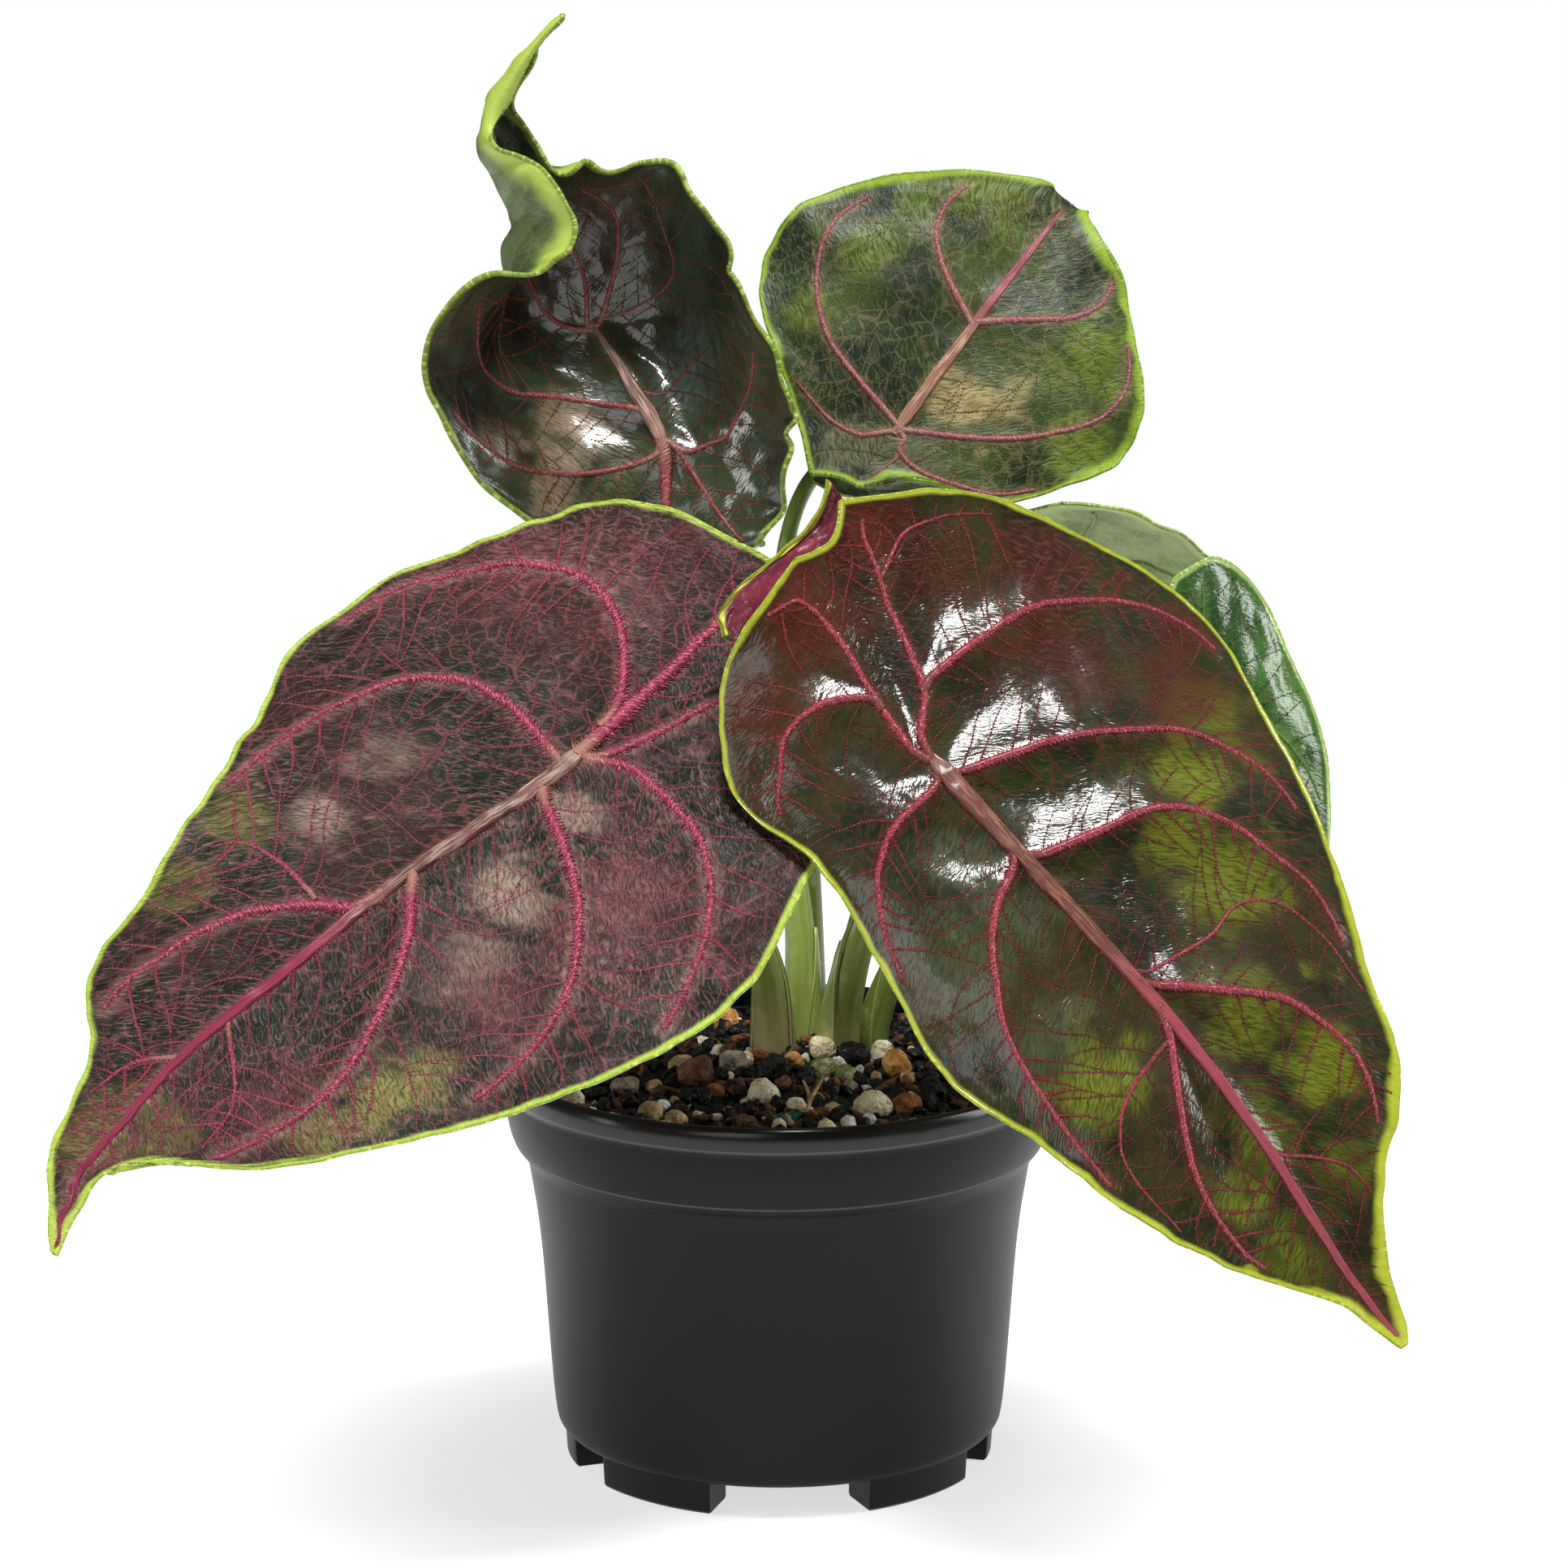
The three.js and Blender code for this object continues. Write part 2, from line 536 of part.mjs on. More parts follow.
function makePot() {
  const floorUnder = [[0, footHeight], [46.4, footHeight]];
  const profile = [...floorUnder, ...potOutside, ...potInside, [0, floorTop]];
  const turned = new THREE.LatheGeometry(profile.map(([r, z]) => new THREE.Vector2(r, z)), turnSteps);
  turned.rotateX(Math.PI / 2);
  let pot = solidFromGeometry(turned);
  for (const middle of footMiddles) {
    const from = THREE.MathUtils.degToRad(middle - 90 - footSpan / 2);
    const to = THREE.MathUtils.degToRad(middle - 90 + footSpan / 2);
    const outline = new THREE.Shape();
    outline.absarc(0, 0, footOuter, from, to, false);
    outline.absarc(0, 0, footInner, to, from, true);
    const foot = new THREE.ExtrudeGeometry(outline, {
      depth: footHeight + 1,
      bevelEnabled: false,
      curveSegments: 5,
    });
    pot = pot.add(solidFromGeometry(foot));
  }
  for (const middle of slotMiddles) {
    const slot = new THREE.BoxGeometry(slotSize[0], slotSize[1], footHeight);
    slot.translate(0, -slotRadius, (footHeight + floorTop) / 2);
    slot.rotateZ(THREE.MathUtils.degToRad(middle));
    pot = pot.subtract(solidFromGeometry(slot));
  }
  return pot;
}

function soilHeight(x, y) {
  const distance = Math.hypot(x - crown.x, y - crown.y);
  const mound = soilMound * Math.exp(-((distance / moundSpread) ** 2));
  const crumbs = 0.5 * Math.sin(0.41 * x + 1.3) * Math.cos(0.37 * y) + 0.35 * Math.sin(0.83 * x - 0.71 * y);
  return soilEdgeHeight + mound + crumbs;
}

function makeSoilBody() {
  const ringAt = (radius, heightAt) => Array.from({ length: turnSteps }, (_, k) => {
    const angle = (2 * Math.PI * k) / turnSteps;
    const x = radius * Math.sin(angle);
    const y = -radius * Math.cos(angle);
    return new THREE.Vector3(x, y, heightAt(x, y));
  });
  const wall = potInside.filter(([, z]) => z < soilEdgeHeight).reverse();
  const rings = wall.map(([r, z]) => ringAt(r - gap, () => (z === floorTop ? z + gap : z)));
  const topRadii = [56.2, 48, 40, 32, 24, 16, 8];
  topRadii.forEach((radius) => rings.push(ringAt(radius, soilHeight)));
  return bodyThroughRings(rings);
}

function makeStones() {
  const random = seededRandom(11);
  const spots = [...frontStones];
  while (spots.length < frontStones.length + scatteredStones) {
    const angle = 2 * Math.PI * random();
    const distance = soilReach * Math.sqrt(random());
    const x = distance * Math.sin(angle);
    const y = distance * Math.cos(angle);
    const radius = THREE.MathUtils.lerp(...scatteredRadii, random());
    const clear = spots.every(([a, b, r]) => Math.hypot(a - x, b - y) > r + radius);
    const fromCrown = Math.hypot(x - crown.x, y - crown.y);
    if (clear && fromCrown > crownClearance) spots.push([x, y, radius]);
  }
  return spots.map(([x, y, radius]) => {
    const stone = new THREE.IcosahedronGeometry(radius, 0);
    stone.rotateZ(2 * Math.PI * random());
    stone.scale(1, 0.9, 0.75);
    stone.translate(x, y, soilHeight(x, y) + 0.25 * radius);
    return solidFromGeometry(stone);
  });
}

// The corm with its roots; extra makes the space that it fills in the soil
function makeCorm(extra = 0) {
  const ball = new THREE.IcosahedronGeometry(1, 2);
  ball.scale(cormSize.x + extra, cormSize.y + extra, cormSize.z + extra);
  ball.translate(crown.x, crown.y, crown.z);
  const roots = Array.from({ length: rootCount }, (_, k) => {
    const angle = (2 * Math.PI * (k + 0.3)) / rootCount;
    const at = (out, drop) => new THREE.Vector3(
      crown.x + out * Math.cos(angle),
      crown.y + out * Math.sin(angle),
      crown.z - drop,
    );
    return stalk([at(4, 4), at(14, 12), at(18, 26), at(16 - k, 42)], ...rootRadii, 5, 5, extra);
  });
  return fuse([solidFromGeometry(ball), ...roots]);
}

function petiolePoints(leaf, surface) {
  const hub = surface(leaf.hubRow, 0);
  const behind = surface(leaf.hubRow, 0, -hubApproach);
  return [...leaf.petiole.points.map((point) => new THREE.Vector3(...point)), behind, hub];
}

function makeLeafBody(leaf, surface) {
  const straight = (from, to) => (t) => [THREE.MathUtils.lerp(from, to, t), 0];
  const [midribStart, midribEnd] = leaf.midrib;
  const midrib = straight(midribStart, midribEnd);
  const keel = straight(leaf.hubRow + undersideStart, midribEnd);
  const parts = [
    bladeBody(surface, leaf, bladeThickness),
    rib(surface, midrib, 10, midribWidths, ribRise, 1),
    rib(surface, keel, 8, undersideWidths, undersideRise, -1),
    ...leaf.veins.map((vein) => rib(surface, veinPath(vein), 5, veinWidths, ribRise, 1)),
  ];
  if (leaf.lobe) parts.push(lobeBody(surface, leaf.lobe));
  return largestBody(fuse(parts));
}

function material(colour, roughness) {
  return new THREE.MeshStandardMaterial({ color: colour, roughness, metalness: 0 });
}

const plant = new THREE.Group();

function addPiece(name, solid, look) {
  const mesh = new THREE.Mesh(geometryOf(solid), look);
  mesh.name = name;
  plant.add(mesh);
}

const cormRoom = makeCorm(gap);
let soil = fuse([makeSoilBody(), ...makeStones()]).subtract(cormRoom);
addPiece('pot', makePot(), material(0x2b2c2e, 0.45));
addPiece('corm', makeCorm(), material(0x6b4a30, 0.8));

for (const [name, leaf] of Object.entries(leaves)) {
  const surface = surfaceOf(leaf);
  const route = petiolePoints(leaf, surface);
  const [startRadius, endRadius] = leaf.petiole.radius;
  const stem = stalk(route, startRadius, endRadius, petioleSteps, petioleSides)
    .subtract(cormRoom)
    .subtract(bladeBody(surface, leaf, bladeThickness + 2 * gap));
  soil = soil.subtract(stalk(route, startRadius, endRadius, petioleSteps, petioleSides, gap));
  addPiece(`petiole_${name}`, largestBody(stem), material(0x6f7a3c, 0.45));
  addPiece(`leaf_${name}`, makeLeafBody(leaf, surface), material(leaf.colour, leaf.roughness));
}
addPiece('soil', largestBody(soil), material(0x1d1712, 0.95));

const box = new THREE.Box3().setFromObject(plant);
const middle = box.getCenter(new THREE.Vector3());
plant.position.set(-middle.x, -middle.y, -box.min.z);

const potted = new THREE.Group();
potted.add(plant);

export default potted;
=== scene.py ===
import math

import bmesh
import bpy
import numpy as np
from mathutils import Matrix, Vector
from mathutils.kdtree import KDTree


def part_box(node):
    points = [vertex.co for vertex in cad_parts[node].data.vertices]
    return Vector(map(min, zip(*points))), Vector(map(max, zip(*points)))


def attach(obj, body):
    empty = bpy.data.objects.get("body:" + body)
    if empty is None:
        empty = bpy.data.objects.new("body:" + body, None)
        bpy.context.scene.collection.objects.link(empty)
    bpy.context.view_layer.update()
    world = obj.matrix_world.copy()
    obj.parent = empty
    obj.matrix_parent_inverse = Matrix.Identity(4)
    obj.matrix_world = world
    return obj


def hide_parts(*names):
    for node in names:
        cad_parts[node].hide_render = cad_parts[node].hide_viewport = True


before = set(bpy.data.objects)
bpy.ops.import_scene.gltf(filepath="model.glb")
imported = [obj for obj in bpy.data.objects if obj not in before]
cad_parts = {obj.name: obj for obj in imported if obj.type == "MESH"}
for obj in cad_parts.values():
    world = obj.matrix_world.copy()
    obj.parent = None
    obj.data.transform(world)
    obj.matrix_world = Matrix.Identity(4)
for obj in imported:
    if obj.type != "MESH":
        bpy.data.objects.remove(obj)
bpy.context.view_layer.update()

# A six-leaved aroid in a nursery pot. Places are millimetres from the pot's axis on the floor, with
# the pictured front towards -Y, and makeMesh turns them into metres in the CAD frame.
mm = 0.001
potLow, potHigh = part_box("pot")
potAxis = np.array([(potLow.x + potHigh.x) / 2, (potLow.y + potHigh.y) / 2, potLow.z])


def srgb(hexColour):
    parts = [int(hexColour[k:k + 2], 16) / 255 for k in (1, 3, 5)]
    return [p / 12.92 if p <= 0.04045 else ((p + 0.055) / 1.055) ** 2.4 for p in parts] + [1.0]


def unit(vectors):
    vectors = np.asarray(vectors, float)
    return vectors / np.maximum(np.linalg.norm(vectors, axis=-1, keepdims=True), 1e-12)


def smooth(low, high, value):
    t = np.clip((value - low) / (high - low), 0, 1)
    return t * t * (3 - 2 * t)


def ripple(u, v, wavelength, seed, waves=14):
    # smooth seeded unevenness, mostly between -1 and 1, as a sum of waves in random directions
    random = np.random.default_rng(seed)
    total = np.zeros(np.broadcast(u, v).shape)
    for _ in range(waves):
        turn = random.uniform(0, 2 * math.pi)
        length = wavelength * random.uniform(0.6, 1.6)
        across = u * math.cos(turn) + v * math.sin(turn)
        total += np.cos(2 * math.pi * across / length + random.uniform(0, 2 * math.pi))
    return total / math.sqrt(waves)


def lengthAlong(line):
    # distance travelled from the first point of a line, or of each column of a grid
    return np.cumsum(np.linalg.norm(np.diff(line, axis=0, prepend=line[:1]), axis=-1), axis=0)


def evenTurns(count):
    return 2 * math.pi * np.arange(count) / count


# Mesh and node helpers

def makeMesh(name, points, quads=None, triangles=None, materials=(), slots=None, fields=None):
    quads = np.zeros((0, 4), int) if quads is None else np.asarray(quads, int)
    triangles = np.zeros((0, 3), int) if triangles is None else np.asarray(triangles, int)
    mesh = bpy.data.meshes.new(name)
    mesh.vertices.add(len(points))
    mesh.vertices.foreach_set("co", (potAxis + np.asarray(points) * mm).astype(np.float32).ravel())
    mesh.loops.add(quads.size + triangles.size)
    corners = np.concatenate([quads.ravel(), triangles.ravel()]).astype(np.int32)
    mesh.loops.foreach_set("vertex_index", corners)
    mesh.polygons.add(len(quads) + len(triangles))
    starts = np.concatenate([np.arange(len(quads)) * 4, quads.size + np.arange(len(triangles)) * 3])
    mesh.polygons.foreach_set("loop_start", starts.astype(np.int32))
    if slots is not None:
        mesh.polygons.foreach_set("material_index", np.asarray(slots, np.int32))
    mesh.update(calc_edges=True)
    mesh.validate()
    mesh.shade_smooth()
    for material in materials:
        mesh.materials.append(material)
    for label, values in (fields or {}).items():
        values = np.asarray(values, np.float32)
        isVector = values.ndim == 2
        attribute = mesh.attributes.new(label, "FLOAT_VECTOR" if isVector else "FLOAT", "POINT")
        attribute.data.foreach_set("vector" if isVector else "value", values.ravel())
    piece = bpy.data.objects.new(name, mesh)
    bpy.context.scene.collection.objects.link(piece)
    return piece


def gridQuads(rows, columns, start=0, closed=False):
    # quads between neighbouring rows of points; closed joins the last column to the first
    a = np.arange(rows - 1)[:, None] * columns
    k = np.arange(columns if closed else columns - 1)[None, :]
    b = (k + 1) % columns
    quads = np.stack([a + k, a + b, a + columns + b, a + columns + k], axis=-1)
    return quads.reshape(-1, 4) + start


def gridNormals(points):
    return unit(np.cross(np.gradient(points, axis=0), np.gradient(points, axis=1)))


def gridBorder(rows, columns):
    # the numbers of the points round the outside of a grid, in order
    index = np.arange(rows * columns).reshape(rows, columns)
    return np.concatenate([index[0, :-1], index[:-1, -1], index[-1, :0:-1], index[:0:-1, 0]])


def endCaps(count, last, flipped=False):
    # fans that close the first ring of a closed grid and the ring that starts at point last
    caps = [[0, k, k + 1] for k in range(1, count - 1)]
    caps += [[last, last + k + 1, last + k] for k in range(1, count - 1)]
    return [[a, c, b] for a, b, c in caps] if flipped else caps


class Batch:
    # points and faces of many small parts that become one piece
    def __init__(self):
        self.points, self.quads, self.triangles, self.fields, self.count = [], [], [], {}, 0

    def add(self, points, quads=None, triangles=None, **fields):
        points = np.asarray(points, float).reshape(-1, 3)
        if quads is not None:
            self.quads.append(np.asarray(quads, int) + self.count)
        if triangles is not None:
            self.triangles.append(np.asarray(triangles, int) + self.count)
        for label, values in fields.items():
            shape = np.broadcast_to(np.asarray(values, float), (len(points),) + np.shape(values)[1:])
            self.fields.setdefault(label, []).append(shape)
        self.points.append(points)
        self.count += len(points)

    def piece(self, name, materials):
        quads = np.concatenate(self.quads) if self.quads else None
        triangles = np.concatenate(self.triangles) if self.triangles else None
        fields = {label: np.concatenate(values) for label, values in self.fields.items()}
        return makeMesh(name, np.concatenate(self.points), quads, triangles, materials, None, fields)


def newMaterial(name):
    material = bpy.data.materials.new(name)
    material.use_nodes = True
    tree = material.node_tree
    tree.nodes.clear()
    return material, tree


def addNode(tree, kind, inputs=None, output=0, **settings):
    # one node with its settings and links; gives back its first output or the one asked for
    node = tree.nodes.new("ShaderNode" + kind)
    for key, value in settings.items():
        setattr(node, key, value)
    for key, value in (inputs or {}).items():
        socket = node.inputs[key]
        if isinstance(value, bpy.types.NodeSocket):
            tree.links.new(value, socket)
        else:
            socket.default_value = value
    return node.outputs[output] if len(node.outputs) else None


# The shape of a blade, from the same rows, sections and bends as the CAD solids

def rowAt(rows, place):
    top = len(rows) - 1
    clamped = np.clip(place, 0, top - 1e-9)
    index = np.floor(clamped).astype(int)
    t = (clamped - index)[..., None]
    a, b = rows[np.maximum(index - 1, 0)], rows[index]
    c, d = rows[index + 1], rows[np.minimum(index + 2, top)]
    return 0.5 * (2 * b + (c - a) * t + (2 * a - 5 * b + 4 * c - d) * t ** 2
                  + (3 * b - 3 * c + d - a) * t ** 3)


def eased(stations, along):
    places, values = np.array(stations, float).T
    if len(places) == 1:
        return np.full(np.shape(along), values[0])
    k = np.clip(np.searchsorted(places, along, side="right") - 1, 0, len(places) - 2)
    t = np.clip((along - places[k]) / (places[k + 1] - places[k]), 0, 1)
    return values[k] + (values[k + 1] - values[k]) * t * t * (3 - 2 * t)


def flatBlade(leaf):
    hub = np.array(leaf["hub"], float)
    forward = unit(leaf["forward"])
    up = np.array(leaf["face"], float)
    up = unit(up - up.dot(forward) * forward)
    left = np.cross(up, forward)
    rows = np.array(leaf["rows"], float)
    before, beyond = 10, 172  # millimetres covered behind the first row and ahead of the hub
    start = math.floor(rows[0][0]) - before
    marks = np.arange(start, beyond)
    leans = np.radians(eased(leaf["bend"], marks[:-1] + 0.5))
    along = np.concatenate([[0], np.cumsum(np.cos(leans))])
    rise = np.concatenate([[0], np.cumsum(np.sin(leans))])
    along -= along[-start]
    rise -= rise[-start]
    sectionSteps, foldReach = 40, 4  # steps out to the edge, and millimetres that the fold takes

    def place(row, across):
        midU, rightU, rightV, leftU, leftV = np.moveaxis(rowAt(rows, row), -1, 0)
        isLeft = across >= 0
        reach = np.abs(across)
        midV = eased(leaf["sway"], midU)
        u = midU + (np.where(isLeft, leftU, rightU) - midU) * reach ** 2
        v = (np.where(isLeft, leftV, rightV) - midV) * reach
        middle = eased(leaf["sway"], u)
        span = midV + v - middle
        onLeft = span >= 0
        foldRight, cupRight = leaf.get("foldRight", leaf["fold"]), leaf.get("cupRight", leaf["cup"])
        fold = np.where(onLeft, eased(leaf["fold"], u), eased(foldRight, u))
        cup = np.where(onLeft, eased(leaf["cup"], u), eased(cupRight, u))
        size = np.abs(span)
        side, height = np.zeros_like(size), np.zeros_like(size)
        for k in range(sectionSteps):
            distance = size * (k + 0.5) / sectionSteps
            turn = fold * np.minimum(distance / foldReach, 1) + cup * distance / leaf["cupWidth"]
            side += np.cos(np.radians(turn)) * size / sectionSteps
            height += np.sin(np.radians(turn)) * size / sectionSteps
        lean = np.radians(eased(leaf["bend"], u))
        alongHere = np.interp(u, marks, along) - height * np.sin(lean)
        riseHere = np.interp(u, marks, rise) + height * np.cos(lean)
        sideHere = middle + np.sign(span) * side
        return (hub + alongHere[..., None] * forward + riseHere[..., None] * up
                + sideHere[..., None] * left)
    return place


def curledBlade(leaf):
    rows = np.array(leaf["sections"], float).reshape(len(leaf["sections"]), 15)

    def place(row, across):
        section = rowAt(rows, row).reshape(np.shape(row) + (5, 3))
        isLeft = (across >= 0)[..., None]
        belly = np.where(isLeft, section[..., 1, :], section[..., 3, :])
        edge = np.where(isLeft, section[..., 0, :], section[..., 4, :])
        t = np.abs(across)[..., None]
        return (1 - t) ** 2 * section[..., 2, :] + 2 * t * (1 - t) * belly + t * t * edge
    return place


def surfaceOf(leaf):
    place = curledBlade(leaf) if "sections" in leaf else flatBlade(leaf)
    lastRow = len(leaf.get("sections", leaf.get("rows"))) - 1
    step = 0.05

    def surface(row, across, lift=0.0):
        row, across = np.broadcast_arrays(np.asarray(row, float), np.asarray(across, float))
        ahead, behind = np.minimum(row + step, lastRow), np.maximum(row - step, 0)
        outer, inner = np.minimum(across + step, 1), np.maximum(across - step, -1)
        lengthwise = place(ahead, across) - place(behind, across)
        sideways = place(row, outer) - place(row, inner)
        normal = unit(np.cross(lengthwise, sideways))
        fade = np.sin(math.pi * row / lastRow)
        wave = leaf["wave"] * np.sin(2 * math.pi * leaf["waves"] * row / lastRow + np.sign(across))
        return place(row, across) + (lift + wave * fade * np.abs(across) ** 3)[..., None] * normal
    return surface, lastRow


bladeHalf = 0.4  # half of a blade's thickness
veinReach = 0.97  # no vein comes nearer to the edge than this share of the way across


def treeOf(points):
    tree = KDTree(len(points))
    for k, point in enumerate(points):
        tree.insert(point, k)
    tree.balance()
    return tree


def distancesTo(tree, points):
    return np.array([tree.find(point)[2] for point in points.reshape(-1, 3)]).reshape(points.shape[:-1])


def veinLine(vein, samples):
    places = rowAt(np.array(vein, float), np.linspace(0, len(vein) - 1, samples))
    return places[:, 0], np.clip(places[:, 1], -veinReach, veinReach)


class Blade:
    # the finished face of one leaf as a grid, with places and normals between the grid points
    def __init__(self, leaf):
        self.leaf = leaf
        surface, self.lastRow = surfaceOf(leaf)
        self.surface = surface
        self.rows = np.linspace(0, self.lastRow, leaf["gridRows"])
        spread = np.linspace(-1, 1, leaf["gridColumns"])
        self.columns = spread * (1.25 - 0.25 * spread ** 2)  # closer together towards the edge
        row, across = np.meshgrid(self.rows, self.columns, indexing="ij")
        base = surface(row, across)
        steps = np.linalg.norm(np.diff(base, axis=1, prepend=base[:, :1]), axis=-1)
        self.v = np.cumsum(steps, axis=1)
        middle = leaf["gridColumns"] // 2
        self.u = np.repeat(lengthAlong(base)[:, middle:middle + 1], leaf["gridColumns"], axis=1)
        self.v -= self.v[:, middle:middle + 1]
        rim = np.concatenate([base[:, 0], base[-1], base[::-1, -1], base[0, ::-1]])
        self.edge = distancesTo(treeOf(rim), base)
        base = base + self.scallop(base)
        veinSamples, midribSamples = 160, 400
        ribs = [surface(*veinLine(vein, veinSamples)) for vein in leaf["veins"]]
        # how strongly fine veins show: most towards the edge, and more in some places than others
        low, gain = leaf["netting"]
        drift = 0.25 * ripple(self.u, self.v, 40, leaf["seed"] + 20)
        self.netting = np.clip(low + gain * (1 - smooth(4, 28, self.edge)) + drift, 0, 1)
        midrib = surface(np.linspace(*leaf["midrib"], midribSamples), 0)
        self.vein = distancesTo(treeOf(np.concatenate(ribs + [midrib])), base)
        self.normals = gridNormals(base)
        self.points = base + self.relief()[..., None] * self.normals
        self.normals = gridNormals(self.points)

    def scallop(self, base):
        # the margin swings a little out and in along its way
        left, right = self.leaf["scallop"]
        size = np.where(self.v < 0, left, right) * (1 - smooth(0, 9, self.edge))
        size = size * smooth(6, 24, np.abs(self.v))
        outward = unit(np.gradient(base, axis=1)) * np.sign(self.v)[..., None]
        return (size * ripple(self.u, 0, 9, self.leaf["seed"] + 70, 6))[..., None] * outward

    def relief(self):
        # the blade rises into a long soft ridge under each main vein and sags between them
        leaf = self.leaf
        crest = np.exp(-(self.vein / leaf["ridgeReach"]) ** 1.4) - 0.4
        ridge = leaf["ridge"] * crest * (0.25 + 0.75 * smooth(6, 32, self.edge)) * smooth(0, 7, self.edge)
        lumps = leaf["unevenness"] * ripple(self.u, self.v, 13, leaf["seed"])
        puckers = leaf["puckers"] * ripple(self.u, self.v, 3.4, leaf["seed"] + 50)
        left, right = leaf["ruffle"]
        size = np.where(self.v < 0, left, right)
        ruffle = size * ripple(self.u, 0, 13, leaf["seed"] + 60) * (1 - smooth(0, 11, self.edge))
        rim = 0.2 * (1 - smooth(0, 2.5, self.edge))
        return ridge + (lumps + puckers) * smooth(0, 5, self.edge) + ruffle + rim

    def look(self, values, row, across):
        # bilinear look-up of a grid of values at places between the grid points
        i = np.clip(np.asarray(row, float) / self.lastRow, 0, 1) * (len(self.rows) - 1)
        j = np.interp(across, self.columns, np.arange(len(self.columns)))
        i0 = np.minimum(np.floor(i).astype(int), len(self.rows) - 2)
        j0 = np.minimum(np.floor(j).astype(int), len(self.columns) - 2)
        a, b = i - i0, j - j0
        if values.ndim == 3:
            a, b = a[..., None], b[..., None]
        return ((1 - a) * (1 - b) * values[i0, j0] + a * (1 - b) * values[i0 + 1, j0]
                + (1 - a) * b * values[i0, j0 + 1] + a * b * values[i0 + 1, j0 + 1])

    def onFace(self, row, across, lift=0.0):
        normal = self.look(self.normals, row, across)
        return self.look(self.points, row, across) + (bladeHalf + lift) * normal, normal

    def underneath(self, row, across, lift=0.0):
        normal = self.look(self.normals, row, across)
        return self.look(self.points, row, across) - (bladeHalf + lift) * normal, -normal


# Sections of a raised vein, from side to side, as shares of its height
roundRib = (0, 0.55, 0.9, 1, 0.9, 0.55, 0)
flatRib = (0, 0.8, 1, 0.8, 0)
sharpRib = (0, 1, 0)
cordedRib = (0, 0.5, 0.8, 0.95, 0.72, 0.95, 0.75, 1, 0.75, 0.95, 0.72, 0.95, 0.8, 0.5, 0)


def ribbon(batch, centre, normal, width, rise, sink=0.25, shape=roundRib, fade=1.0):
    # a raised strip along a line on a blade; width, rise and fade may change along it
    heading = unit(np.gradient(centre, axis=0))
    sideways = unit(np.cross(heading, normal))
    steps = len(shape)
    across = np.linspace(-1, 1, steps)
    profile = np.array(shape, float)
    lift = np.asarray(rise)[:, None] * profile[None, :] - sink * (profile[None, :] == 0)
    out = across[None, :, None] * np.asarray(width)[:, None, None] / 2 * sideways[:, None]
    points = centre[:, None] + out + lift[..., None] * normal[:, None]
    place = np.stack([np.repeat(lengthAlong(centre), steps), np.tile(across, len(centre)),
                      np.zeros(points.size // 3)], axis=-1)
    ends = endCaps(steps, (len(centre) - 1) * steps)
    fades = np.repeat(np.broadcast_to(fade, len(centre)), steps)
    batch.add(points, gridQuads(len(centre), steps, closed=True), ends, leafPlace=place, fade=fades)


def bristles(batch, random, centre, normal, width, spacing, length, fade=1.0):
    # short stiff spikes that lean out from both sides of a vein, towards its tip
    heading = unit(np.gradient(centre, axis=0))
    sideways = unit(np.cross(heading, normal))
    along = lengthAlong(centre)
    thickness, crestHeight, tipDrop = 0.16, 0.34, 0.12
    spots = np.arange(spacing, along[-1] - spacing, spacing)
    for side in (-1, 1):
        at = spots + random.uniform(-0.3, 0.3, len(spots)) * spacing
        pick = np.clip(np.searchsorted(along, at), 0, len(along) - 1)
        turn = np.radians(random.uniform(50, 80, len(spots)))
        reach = length * random.uniform(0.4, 1.3, len(spots)) * np.asarray(width)[pick]
        direction = (np.cos(turn)[:, None] * heading[pick] + side * np.sin(turn)[:, None] * sideways[pick])
        root = centre[pick] + side * sideways[pick] * (np.asarray(width)[pick] * 0.3)[:, None]
        tip = root + direction * reach[:, None] + normal[pick] * 0.02
        halfWidth = (thickness + 0.12 * random.random(len(spots)))[:, None]
        edgewise = unit(np.cross(direction, normal[pick])) * halfWidth
        crest = root + normal[pick] * crestHeight
        points = np.stack([root - edgewise, root + edgewise, crest, tip - normal[pick] * tipDrop], axis=1)
        base = np.arange(len(spots))[:, None] * 4
        faces = np.array([[0, 2, 3], [2, 1, 3], [1, 0, 3], [0, 1, 2]])
        place = np.repeat(np.stack([at, np.full(len(at), side), np.zeros(len(at))], axis=-1), 4, axis=0)
        batch.add(points.reshape(-1, 3), None, (base[:, :, None] + faces[None]).reshape(-1, 3),
                  leafPlace=place, fade=np.full(len(place), fade))


def stepsOnBlade(blade, row, across):
    # how far, in millimetres, one row and one unit across reach on the blade at each place
    ahead, behind = np.minimum(row + 0.02, blade.lastRow), np.maximum(row - 0.02, 0)
    outer, inner = np.minimum(across + 0.01, 1), np.maximum(across - 0.01, -1)
    rowVector = blade.look(blade.points, ahead, across) - blade.look(blade.points, behind, across)
    acrossVector = blade.look(blade.points, row, outer) - blade.look(blade.points, row, inner)
    return (rowVector / np.maximum(ahead - behind, 1e-6)[:, None],
            acrossVector / np.maximum(outer - inner, 1e-6)[:, None])


def directionsOn(rowVector, acrossVector):
    # unit directions in the blade, along its rows and square to them
    forward = unit(rowVector)
    return forward, unit(acrossVector - (acrossVector * forward).sum(-1, keepdims=True) * forward)


